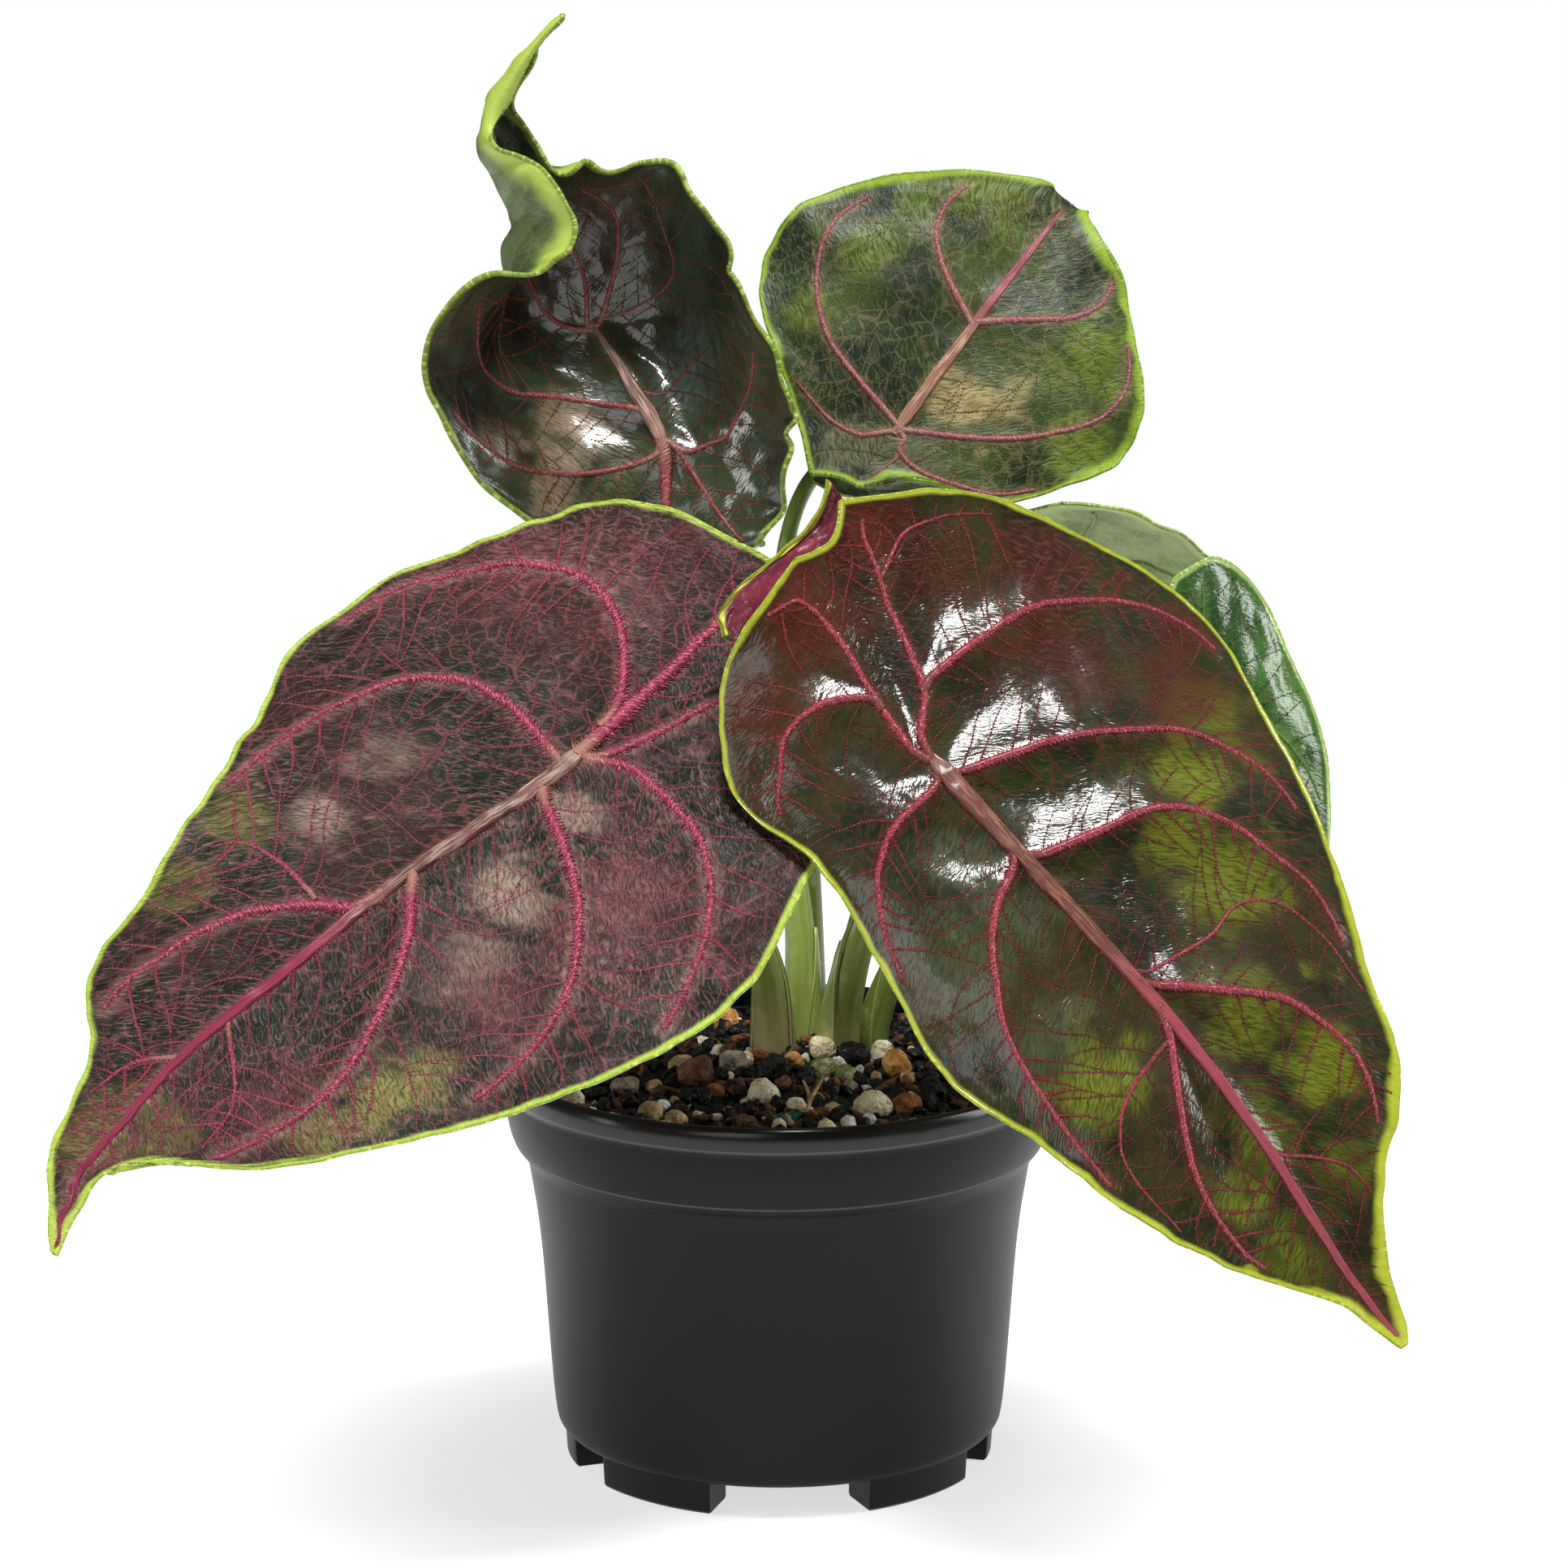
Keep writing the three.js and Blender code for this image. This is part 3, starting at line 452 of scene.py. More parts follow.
def walkTwigs(blade, random, starts, taken, order, bend):
    # Side veins grow out in the skin from given places and headings. Each stops at the edge, at a
    # main vein or where another one has been; taken holds the cells of skin that are used up.
    row, across, angle = (np.array(values, float) for values in starts)
    count = len(row)
    first = taken["next"]
    taken["next"] += count
    label = first + np.arange(count)
    trails = [(row.copy(), across.copy())]
    alive = np.ones(count, bool)
    lengths = np.zeros(count, int)
    stride, wander = order["stride"], order["wander"]
    curl = bend + random.normal(0, 0.3 * wander, count)
    for step in range(order["steps"]):
        rowVector, acrossVector = stepsOnBlade(blade, row, across)
        forward, sideways = directionsOn(rowVector, acrossVector)
        want = stride * (np.cos(angle)[:, None] * forward + np.sin(angle)[:, None] * sideways)
        g11, g12 = (rowVector ** 2).sum(-1), (rowVector * acrossVector).sum(-1)
        g22 = (acrossVector ** 2).sum(-1)
        b1, b2 = (rowVector * want).sum(-1), (acrossVector * want).sum(-1)
        det = np.maximum(g11 * g22 - g12 ** 2, 1e-9)
        row = np.where(alive, np.clip(row + (g22 * b1 - g12 * b2) / det, 0, blade.lastRow), row)
        across = np.where(alive, np.clip(across + (g11 * b2 - g12 * b1) / det, -1, 1), across)
        angle += curl + random.normal(0, wander, count)
        edge = blade.look(blade.edge, row, across)
        vein = blade.look(blade.vein, row, across)
        i = (row / blade.lastRow * (taken["cells"].shape[0] - 1)).astype(int)
        j = ((across + 1) / 2 * (taken["cells"].shape[1] - 1)).astype(int)
        owner = taken["cells"][i, j]
        meets = (owner >= 0) & (owner != label) & (step > 2)
        inside = (row > 0.05) & (row < blade.lastRow - 0.05) & (np.abs(across) < 0.99) & (edge > 1.0)
        lengths += alive & inside
        alive &= inside & ((step < 5) | (vein > 0.7)) & ~meets
        for k in np.nonzero(alive)[0]:
            taken["cells"][i[k], j[k]] = label[k]
        trails.append((row.copy(), across.copy()))
    rows, acrosses = np.array([t[0] for t in trails]), np.array([t[1] for t in trails])
    return [(rows[:n + 1, k], acrosses[:n + 1, k]) for k, n in enumerate(lengths) if n >= 3]


def headingsFrom(blade, row, across, rowStep, acrossStep):
    # the angle of a short move on the blade, seen from the direction in which the rows run
    rowVector, acrossVector = stepsOnBlade(blade, row, across)
    forward, sideways = directionsOn(rowVector, acrossVector)
    move = rowVector * rowStep[:, None] + acrossVector * acrossStep[:, None]
    return np.arctan2((move * sideways).sum(-1), (move * forward).sum(-1))


# Materials. Places on a leaf are in millimetres along the midrib and across the blade. Sockets go by
# number: MapRange takes 0 a value, 1 and 2 the range it has and 3 and 4 the range it gets, and Mix
# takes 0 a share and 6 and 7 the two colours.

soft = {"interpolation_type": "SMOOTHSTEP"}
asColour = {"output": 2, "data_type": "RGBA"}


# Aroid leaf skin, grown: a waxy cuticle over silky fibres, so it glints in short broken strokes
# where light falls on it and is deep and dark elsewhere. Part of that sheen and shade is also painted
# into the colour: paler fibre crests, pale and grey patches, shade patches and paler skin by the veins.
def waxyLeafSkin(name, skin, patches):
    material, tree = newMaterial(name)
    place = addNode(tree, "Attribute", output="Vector", attribute_name="leafPlace")
    edge = addNode(tree, "Attribute", output="Fac", attribute_name="edge")
    vein = addNode(tree, "Attribute", output="Fac", attribute_name="vein")
    cloud = addNode(tree, "TexNoise", {"Vector": place, "Scale": 1 / skin["cloudSize"], "Detail": 4.0,
                                       "Distortion": 0.6})
    broad = addNode(tree, "TexNoise", {"Vector": place, "Scale": 1 / 33, "Detail": 2.0})
    grain = addNode(tree, "TexNoise", {"Vector": place, "Scale": 1 / 1.8, "Detail": 4.0})
    middle = addNode(tree, "MapRange", {0: cloud, 1: 0.4, 2: 0.62}, **soft)
    warmth = addNode(tree, "MapRange", {0: broad, 1: 0.45, 2: 0.6, 4: 0.85}, **soft)
    colour = addNode(tree, "Mix", {0: middle, 6: srgb(skin["dark"]), 7: srgb(skin["mid"])}, **asColour)
    colour = addNode(tree, "Mix", {0: warmth, 6: colour, 7: srgb(skin["warm"])}, **asColour)
    # silky fibres fan out from the midrib: real ones are finer, these strokes are 2.6 mm long and
    # 0.5 mm wide so that they show
    mirrored = addNode(tree, "VectorMath", {0: place}, operation="ABSOLUTE")
    wander = addNode(tree, "TexNoise", {"Vector": place, "Scale": 1 / 5, "Detail": 2.0}, "Color")
    stirred = addNode(tree, "VectorMath", {0: wander, 1: (3.2, 3.2, 0.0), 2: mirrored},
                      operation="MULTIPLY_ADD")
    along = addNode(tree, "Mapping", {"Vector": stirred, "Rotation": (0, 0, skin["fibreTurn"]),
                                      "Scale": (2.6, 0.5, 1)}, vector_type="TEXTURE")
    fibre = addNode(tree, "TexNoise", {"Vector": along, "Scale": 1.0, "Detail": 2.0})
    # patches are broken up by the fibres. The pale and grey patches are partly the skin's own paler tone
    # and partly painted sheen, and the shade patches are painted shade.
    broken = addNode(tree, "MapRange", {0: fibre, 1: 0.32, 2: 0.62, 3: 0.3, 4: 1.25}, **soft)
    for label in patches:
        spot = addNode(tree, "Attribute", output="Fac", attribute_name=label)
        share = addNode(tree, "Math", {0: spot, 1: broken}, operation="MULTIPLY", use_clamp=True)
        colour = addNode(tree, "Mix", {0: share, 6: colour, 7: srgb(skin[label])}, **asColour)
    # the fibre crests are painted paler: partly the fibres' own colour and partly painted sheen
    silk = addNode(tree, "MapRange", {0: fibre, 1: 0.5, 2: 0.7, 4: skin["silk"]}, **soft)
    thick = addNode(tree, "MapRange", {0: broad, 1: 0.3, 2: 0.62, 3: 1.0, 4: 0.3}, **soft)
    silkSheenShare = addNode(tree, "Math", {0: silk, 1: thick}, operation="MULTIPLY")
    colour = addNode(tree, "Mix", {0: silkSheenShare, 6: colour, 7: srgb(skin["silkColour"])}, **asColour)
    # paler skin along the main veins: partly a fringe of fine pale hairs and partly painted sheen where
    # the ridges under the veins catch the light
    near = addNode(tree, "MapRange", {0: vein, 1: 0.8, 2: skin["haloWidth"], 3: skin["halo"], 4: 0}, **soft)
    streaks = addNode(tree, "MapRange", {0: fibre, 1: 0.35, 2: 0.62, 3: 0.35, 4: 1.0}, **soft)
    halo = addNode(tree, "Math", {0: near, 1: streaks}, operation="MULTIPLY")
    colour = addNode(tree, "Mix", {0: halo, 6: colour, 7: srgb(skin["haloColour"])}, **asColour)
    # the finest net of veins, meshes about 4 mm wide
    cells = addNode(tree, "TexVoronoi", {"Vector": stirred, "Scale": 1 / skin["mesh"]},
                    feature="DISTANCE_TO_EDGE")
    thread = addNode(tree, "MapRange", {0: cells, 1: 0.012, 2: 0.07, 3: 1, 4: 0}, **soft)
    net = skin["net"]
    patchy = addNode(tree, "MapRange", {0: cloud, 1: 0.35, 2: 0.6, 3: 0.25 * net, 4: net}, **soft)
    netShare = addNode(tree, "Math", {0: thread, 1: patchy}, operation="MULTIPLY")
    colour = addNode(tree, "Mix", {0: netShare, 6: colour, 7: srgb(skin["netColour"])}, **asColour)
    # the yellow-green margin, with an uneven inner line
    ragged = addNode(tree, "Math", {0: cloud, 1: 1.6, 2: edge}, operation="MULTIPLY_ADD")
    inner, outer = 0.4 * skin["marginWidth"] + 0.8, 1.6 * skin["marginWidth"] + 0.8
    margin = addNode(tree, "MapRange", {0: ragged, 1: inner, 2: outer, 3: 1, 4: 0}, **soft)
    lime = addNode(tree, "Mix", {0: grain, 6: srgb(skin["edge"]), 7: srgb(skin["edgePale"])}, **asColour)
    colour = addNode(tree, "Mix", {0: margin, 6: colour, 7: lime}, **asColour)
    height = addNode(tree, "Math", {0: grain, 1: 0.5, 2: fibre}, operation="MULTIPLY_ADD")
    bump = addNode(tree, "Bump", {"Height": height, "Distance": skin["fibreDepth"] * mm})
    wax = addNode(tree, "Bump", {"Height": height, "Distance": skin["waxDepth"] * mm})
    rough = addNode(tree, "MapRange", {0: grain, 1: 0.3, 2: 0.75, 3: skin["roughness"] - 0.05,
                                       4: skin["roughness"] + 0.1})
    shader = addNode(tree, "BsdfPrincipled", {
        "Base Color": colour, "Roughness": rough, "IOR": 1.45, "Normal": bump,
        "Specular IOR Level": skin["specular"], "Coat Weight": skin["coat"], "Coat IOR": 1.5,
        "Coat Roughness": skin["coatRoughness"], "Coat Normal": wax})
    addNode(tree, "OutputMaterial", {"Surface": shader})
    return material


# Underside of the same leaves: no wax and more air under the skin, so it is paler and duller
def leafUnderside(name, colours):
    material, tree = newMaterial(name)
    place = addNode(tree, "Attribute", output="Vector", attribute_name="leafPlace")
    edge = addNode(tree, "Attribute", output="Fac", attribute_name="edge")
    cloud = addNode(tree, "TexNoise", {"Vector": place, "Scale": 1 / 11, "Detail": 3.0, "Distortion": 0.5})
    net = addNode(tree, "TexVoronoi", {"Vector": place, "Scale": 1 / 3.4}, feature="DISTANCE_TO_EDGE")
    tone = addNode(tree, "MapRange", {0: cloud, 1: 0.35, 2: 0.68}, **soft)
    threads = addNode(tree, "MapRange", {0: net, 1: 0.01, 2: 0.12, 3: 0.28, 4: 0}, **soft)
    margin = addNode(tree, "MapRange", {0: edge, 1: 1.0, 2: 3.4, 3: 1, 4: 0}, **soft)
    colour = srgb(colours[0])
    for share, tint in zip((tone, threads, margin), colours[1:]):
        colour = addNode(tree, "Mix", {0: share, 6: colour, 7: srgb(tint)}, **asColour)
    bump = addNode(tree, "Bump", {"Height": threads, "Strength": 0.5, "Distance": 0.3 * mm})
    shader = addNode(tree, "BsdfPrincipled", {
        "Base Color": colour, "Roughness": 0.5, "IOR": 1.42, "Normal": bump})
    addNode(tree, "OutputMaterial", {"Surface": shader})
    return material


# Vein skin, grown: juicy ribs under short stiff hairs. The hairs show as pale strokes 1.3 mm long and
# 0.35 of the rib's half width across; along the midrib they are stretched into long cords.
# Colours are ground, hairs, clouds, the colour at the root and the colour the vein fades to.
def hairyVein(name, colours, stroke=1.3, slant=0.9, roughness=0.38, coat=0.0):
    material, tree = newMaterial(name)
    place = addNode(tree, "Attribute", output="Vector", attribute_name="leafPlace")
    fade = addNode(tree, "Attribute", output="Fac", attribute_name="fade")
    along = addNode(tree, "SeparateXYZ", {0: place}, "X")
    turned = addNode(tree, "Mapping", {"Vector": place, "Rotation": (0, 0, slant),
                                       "Scale": (stroke, 0.35, 1)}, vector_type="TEXTURE")
    hairs = addNode(tree, "TexNoise", {"Vector": turned, "Scale": 1.0, "Detail": 3.0})
    broad = addNode(tree, "TexNoise", {"Vector": place, "Scale": 1 / 9, "Detail": 2.0})
    cloud = addNode(tree, "MapRange", {0: broad, 1: 0.42, 2: 0.62, 4: 0.8}, **soft)
    pale = addNode(tree, "MapRange", {0: hairs, 1: 0.48, 2: 0.64}, **soft)
    root = addNode(tree, "MapRange", {0: along, 1: 1.5, 2: 8.0, 3: 0.7, 4: 0}, **soft)
    ground, hairColour, cloudColour, rootColour, fadesTo = [srgb(colour) for colour in colours]
    colour = ground
    for share, tint in ((cloud, cloudColour), (pale, hairColour), (root, rootColour)):
        colour = addNode(tree, "Mix", {0: share, 6: colour, 7: tint}, **asColour)
    colour = addNode(tree, "Mix", {0: fade, 6: fadesTo, 7: colour}, **asColour)
    bump = addNode(tree, "Bump", {"Height": hairs, "Distance": 0.6 * mm})
    shader = addNode(tree, "BsdfPrincipled", {
        "Base Color": colour, "Roughness": roughness, "IOR": 1.42, "Normal": bump,
        "Coat Weight": coat, "Coat Roughness": 0.12})
    addNode(tree, "OutputMaterial", {"Surface": shader})
    return material


# Leaf stalk, grown: smooth waxy skin over long fibres, streaked lengthwise with a soft shine, and
# paler where the thin edge of a sheath stands off. Colours are two streaks, speckles and the foot.
def stalkSkin(name, colours):
    material, tree = newMaterial(name)
    place = addNode(tree, "Attribute", output="Vector", attribute_name="leafPlace")
    edge = addNode(tree, "Attribute", output="Fac", attribute_name="edge")
    along = addNode(tree, "SeparateXYZ", {0: place}, "X")
    stretched = addNode(tree, "Mapping", {"Vector": place, "Scale": (26, 1.6, 1.6)}, vector_type="TEXTURE")
    streaks = addNode(tree, "TexNoise", {"Vector": stretched, "Scale": 1.0, "Detail": 2.0})
    flecks = addNode(tree, "TexNoise", {"Vector": place, "Scale": 1 / 3, "Detail": 4.0})
    tone = addNode(tree, "MapRange", {0: streaks, 1: 0.2, 2: 0.8})
    speckle = addNode(tree, "MapRange", {0: flecks, 1: 0.56, 2: 0.7, 4: 0.5}, **soft)
    foot = addNode(tree, "MapRange", {0: along, 1: 6, 2: 30, 3: 0.75, 4: 0}, **soft)
    rim = addNode(tree, "MapRange", {0: edge, 1: 0.1, 2: 0.9, 3: 0.5, 4: 0}, **soft)
    colour = srgb(colours[0])
    for share, tint in ((tone, colours[1]), (foot, colours[3]), (speckle, colours[2]), (rim, "#b9c27a")):
        colour = addNode(tree, "Mix", {0: share, 6: colour, 7: srgb(tint)}, **asColour)
    bump = addNode(tree, "Bump", {"Height": streaks, "Strength": 0.25, "Distance": 0.2 * mm})
    shader = addNode(tree, "BsdfPrincipled", {
        "Base Color": colour, "Roughness": 0.36, "IOR": 1.42, "Normal": bump,
        "Coat Weight": 0.2, "Coat Roughness": 0.25})
    addNode(tree, "OutputMaterial", {"Surface": shader})
    return material


# Polypropylene, injection moulded: even black with a satin skin and faint flow marks up the wall
def mouldedPolypropylene():
    material, tree = newMaterial("mouldedPolypropylene")
    where = addNode(tree, "TexCoord", output="Object")
    stretched = addNode(tree, "Mapping", {"Vector": where, "Scale": (20 * mm, 20 * mm, 60 * mm)},
                        vector_type="TEXTURE")
    flow = addNode(tree, "TexNoise", {"Vector": stretched, "Scale": 1.0, "Detail": 2.0})
    grain = addNode(tree, "TexNoise", {"Vector": where, "Scale": 1 / (0.5 * mm), "Detail": 2.0})
    tone = addNode(tree, "Mix", {0: flow, 6: srgb("#08080a"), 7: srgb("#0d0d0f")}, **asColour)
    height = addNode(tree, "SeparateXYZ", {0: where}, "Z")
    # the lip was polished in the tool, so it alone shines
    shine = addNode(tree, "MapRange", {0: height, 1: 82.8 * mm, 2: 84 * mm, 3: 0.2, 4: 0.4})
    rough = addNode(tree, "MapRange", {0: height, 1: 82.8 * mm, 2: 84 * mm, 3: 0.44, 4: 0.24})
    # painted highlights: pale lines 0.5 mm high where the ledges under the lip and under the collar catch the
    # light
    under, below = [addNode(tree, "Math", {0: height, 1: level * mm, 2: 0.25 * mm}, operation="COMPARE")
                    for level in (83.8, 70.9)]
    ledgeHighlights = addNode(tree, "Math", {0: under, 1: below}, operation="ADD", use_clamp=True)
    tone = addNode(tree, "Mix", {0: ledgeHighlights, 6: tone, 7: srgb("#3c3e42")}, **asColour)
    bump = addNode(tree, "Bump", {"Height": grain, "Strength": 0.15, "Distance": 0.05 * mm})
    shader = addNode(tree, "BsdfPrincipled", {
        "Base Color": tone, "Roughness": rough, "IOR": 1.49, "Specular IOR Level": shine, "Normal": bump})
    addNode(tree, "OutputMaterial", {"Surface": shader})
    return material


# Potting mix, loose: damp peat, so it is near black, crumbly and dull with wet glints
def dampPeat(name, colours, roughness):
    material, tree = newMaterial(name)
    where = addNode(tree, "TexCoord", output="Object")
    crumbs = addNode(tree, "TexNoise", {"Vector": where, "Scale": 1 / (2.2 * mm), "Detail": 5.0,
                                        "Distortion": 0.4})
    flecks = addNode(tree, "TexNoise", {"Vector": where, "Scale": 1 / (0.7 * mm), "Detail": 2.0})
    tone = addNode(tree, "MapRange", {0: crumbs, 1: 0.4, 2: 0.64}, **soft)
    fleck = addNode(tree, "MapRange", {0: flecks, 1: 0.66, 2: 0.74, 4: 0.7}, **soft)
    wet = addNode(tree, "MapRange", {0: flecks, 1: 0.35, 2: 0.6, 3: roughness[0], 4: roughness[1]}, **soft)
    colour = srgb(colours[0])
    for share, tint in zip((tone, fleck), colours[1:]):
        colour = addNode(tree, "Mix", {0: share, 6: colour, 7: srgb(tint)}, **asColour)
    bump = addNode(tree, "Bump", {"Height": crumbs, "Distance": 1.0 * mm})
    shader = addNode(tree, "BsdfPrincipled", {
        "Base Color": colour, "Roughness": wet, "IOR": 1.4, "Normal": bump})
    addNode(tree, "OutputMaterial", {"Surface": shader})
    return material


# Akadama, pumice and bark grains: porous broken bits, chalky, with stained creases and dark pits, the pits
# darkened by painted shade.
# A lower roughness makes it dry straw, bark or smooth stone.
def porousGrain(name, colours, roughness=0.8):
    material, tree = newMaterial(name)
    where = addNode(tree, "TexCoord", output="Object")
    clouds = addNode(tree, "TexNoise", {"Vector": where, "Scale": 1 / (2.5 * mm), "Detail": 5.0})
    pits = addNode(tree, "TexVoronoi", {"Vector": where, "Scale": 1 / (0.9 * mm)})
    stains = addNode(tree, "TexNoise", {"Vector": where, "Scale": 1 / (1.6 * mm), "Detail": 4.0,
                                        "Distortion": 1.0})
    tone = addNode(tree, "MapRange", {0: clouds, 1: 0.38, 2: 0.62}, **soft)
    # the pits are darkened with painted shade
    pitShade = addNode(tree, "MapRange", {0: pits, 1: 0.08, 2: 0.26, 3: 0.6, 4: 0}, **soft)
    stain = addNode(tree, "MapRange", {0: stains, 1: 0.58, 2: 0.7, 4: 0.7}, **soft)
    colour = srgb(colours[0])
    for share, tint in ((tone, colours[1]), (stain, colours[2]), (pitShade, colours[2])):
        colour = addNode(tree, "Mix", {0: share, 6: colour, 7: srgb(tint)}, **asColour)
    height = addNode(tree, "Math", {0: clouds, 1: 0.8, 2: pits}, operation="MULTIPLY_ADD")
    bump = addNode(tree, "Bump", {"Height": height, "Strength": 0.8, "Distance": 0.5 * mm})
    shader = addNode(tree, "BsdfPrincipled", {
        "Base Color": colour, "Roughness": roughness, "IOR": 1.5, "Normal": bump})
    addNode(tree, "OutputMaterial", {"Surface": shader})
    return material


# Corm skin, grown: brown papery bark with fibres round it
def cormBark():
    material, tree = newMaterial("cormBark")
    where = addNode(tree, "TexCoord", output="Object")
    stretched = addNode(tree, "Mapping", {"Vector": where, "Scale": (8 * mm, 8 * mm, 1.1 * mm)},
                        vector_type="TEXTURE")
    rings = addNode(tree, "TexNoise", {"Vector": stretched, "Scale": 1.0, "Detail": 4.0})
    colour = addNode(tree, "Mix", {0: rings, 6: srgb("#2d1a0e"), 7: srgb("#7a5636")}, **asColour)
    bump = addNode(tree, "Bump", {"Height": rings, "Distance": 0.8 * mm})
    shader = addNode(tree, "BsdfPrincipled", {
        "Base Color": colour, "Roughness": 0.85, "IOR": 1.5, "Normal": bump})
    addNode(tree, "OutputMaterial", {"Surface": shader})
    return material


# Pieces of a leaf

def sheetPiece(name, middle, normals, materials, fields, half=bladeHalf):
    # a thin closed sheet round a grid of points; face, back and rim take one material each
    rows, columns = middle.shape[:2]
    shift = rows * columns
    sides = [(middle + offset * normals).reshape(-1, 3) for offset in (half, -half)]
    points = np.concatenate(sides)
    rim = gridBorder(rows, columns)
    following = np.roll(rim, -1)
    face, back = gridQuads(rows, columns)[:, ::-1], gridQuads(rows, columns, shift)
    border = np.stack([following, rim, rim + shift, following + shift], axis=-1)
    slots = np.repeat([0, 1, 2], [len(face), len(back), len(border)])
    twice = {label: np.tile(values, (2, 1) if values.ndim == 2 else 2) for label, values in fields.items()}
    return makeMesh(name, points, np.concatenate([face, back, border]), None, materials, slots, twice)


def patchField(blade, patches):
    # soft round spots on the blade, the strongest one winning where they meet
    field = np.zeros(blade.u.shape)
    seed = blade.leaf["seed"]
    ragged = 1 + 0.3 * ripple(blade.u, blade.v, 14, seed + 50)
    ragged += 0.16 * ripple(blade.u, blade.v, 5, seed + 51)
    for row, across, radius, strength in patches:
        centre = blade.look(blade.points, np.array(row), np.array(across))
        distance = np.linalg.norm(blade.points - centre, axis=-1) * ragged
        field = np.maximum(field, strength * (1 - smooth(0.25 * radius, radius, distance)))
    return field


def bladePiece(name, blade, materials):
    flat = np.stack([blade.u, blade.v, np.zeros_like(blade.u)], axis=-1).reshape(-1, 3)
    widened = 1 + 1.6 * patchField(blade, blade.leaf["wideMargin"])
    fields = {"leafPlace": flat, "edge": (blade.edge / widened).ravel(), "vein": blade.vein.ravel()}
    for label, patches in blade.leaf["patches"].items():
        fields[label] = patchField(blade, patches).ravel()
    return sheetPiece(name, blade.points, blade.normals, materials, fields)


def marginBead(name, blade, material):
    # the rounded, paler rim that runs round the whole blade
    spacing, sides = 0.5, 8  # millimetres between rings, and points in each ring
    loop = gridBorder(*blade.u.shape)
    centre, normal = blade.points.reshape(-1, 3)[loop], blade.normals.reshape(-1, 3)[loop]
    keep = [0]
    for k in range(1, len(loop)):
        if np.linalg.norm(centre[k] - centre[keep[-1]]) > spacing:
            keep.append(k)
    centre, normal = centre[keep], normal[keep]
    closed = np.concatenate([centre[-2:], centre, centre[:2]])
    outward = unit(np.cross(unit(closed[3:-1] - closed[1:-3]), normal))
    angles = evenTurns(sides)
    along = np.arange(len(centre)) * spacing
    size = blade.leaf["rimRadius"] * (1 + 0.2 * ripple(along, 0, 6, blade.leaf["seed"] + 9))
    ring = np.cos(angles)[None, :, None] * outward[:, None] + np.sin(angles)[None, :, None] * normal[:, None]
    points = (centre[:, None] + size[:, None, None] * ring).reshape(-1, 3)
    quads = gridQuads(len(centre) + 1, sides, closed=True) % len(points)
    place = np.stack([along + 20, np.zeros_like(along), np.zeros_like(along)], axis=-1)
    fields = {"leafPlace": np.repeat(place, sides, axis=0), "fade": np.ones(len(points))}
    return makeMesh(name, points, quads, None, [material], None, fields)


def branchesAlong(random, row, across, centre, spacing, until=0.95):
    # places every so many millimetres along a vein where finer veins leave it, on both sides
    along = lengthAlong(centre)
    found = []
    for side in (-1, 1):
        spots = np.arange(spacing * random.uniform(0.3, 1.1), along[-1] * until, spacing)
        spots = spots + random.uniform(-0.22, 0.22, len(spots)) * spacing
        for k in np.clip(np.searchsorted(along, spots), 1, len(row) - 2):
            rowStep, acrossStep = row[k + 1] - row[k - 1], across[k + 1] - across[k - 1]
            found.append((row[k], across[k], rowStep, acrossStep, side))
    return found


def growFrom(blade, random, found, taken, order):
    # finer veins from the places found, each leaning out to its own side
    row, across, rowStep, acrossStep, side = np.array(found).T
    angle = headingsFrom(blade, row, across, rowStep, acrossStep)
    turn = np.radians(random.uniform(*order["lean"], len(row)))
    bend = -order["bend"] * side * random.uniform(0.5, 1.5, len(row))
    return walkTwigs(blade, random, (row, across, angle + side * turn), taken, order, bend)


def mainVeins(blade, random, batches, found):
    leaf = blade.leaf
    ribs, hairs, keels = batches["ribs"], batches["hairs"], batches["keels"]
    steps, thinned = 112, slice(None, None, 3)
    for label, share in (("veins", 1.0), ("thinVeins", 0.5)):
        for vein in leaf[label]:
            row, across = veinLine(vein, steps)
            centre, normal = blade.onFace(row, across)
            t = np.linspace(0, 1, steps)
            wide, slim = leaf["veinWidths"]
            seed = int(random.integers(1e6))
            width = (wide + (slim - wide) * t ** 0.8) * share * (1 + 0.09 * ripple(t * 70, 0, 4, seed))
            rise = 0.38 * width * (1 + 0.15 * ripple(t * 70, 0, 2.5, seed + 1))
            ribbon(ribs, centre, normal, width, rise)
            bristles(hairs, random, centre, normal, width, 0.42, leaf["hairLength"])
            low, lowNormal = blade.underneath(row, across)
            keelWidth, keelRise = (2 - 1.2 * t[thinned]) * share, (0.9 - 0.5 * t[thinned]) * share
            ribbon(keels, low[thinned], lowNormal[thinned], keelWidth, keelRise, shape=flatRib)
            found += branchesAlong(random, row, across, centre, leaf["twigSpacing"])


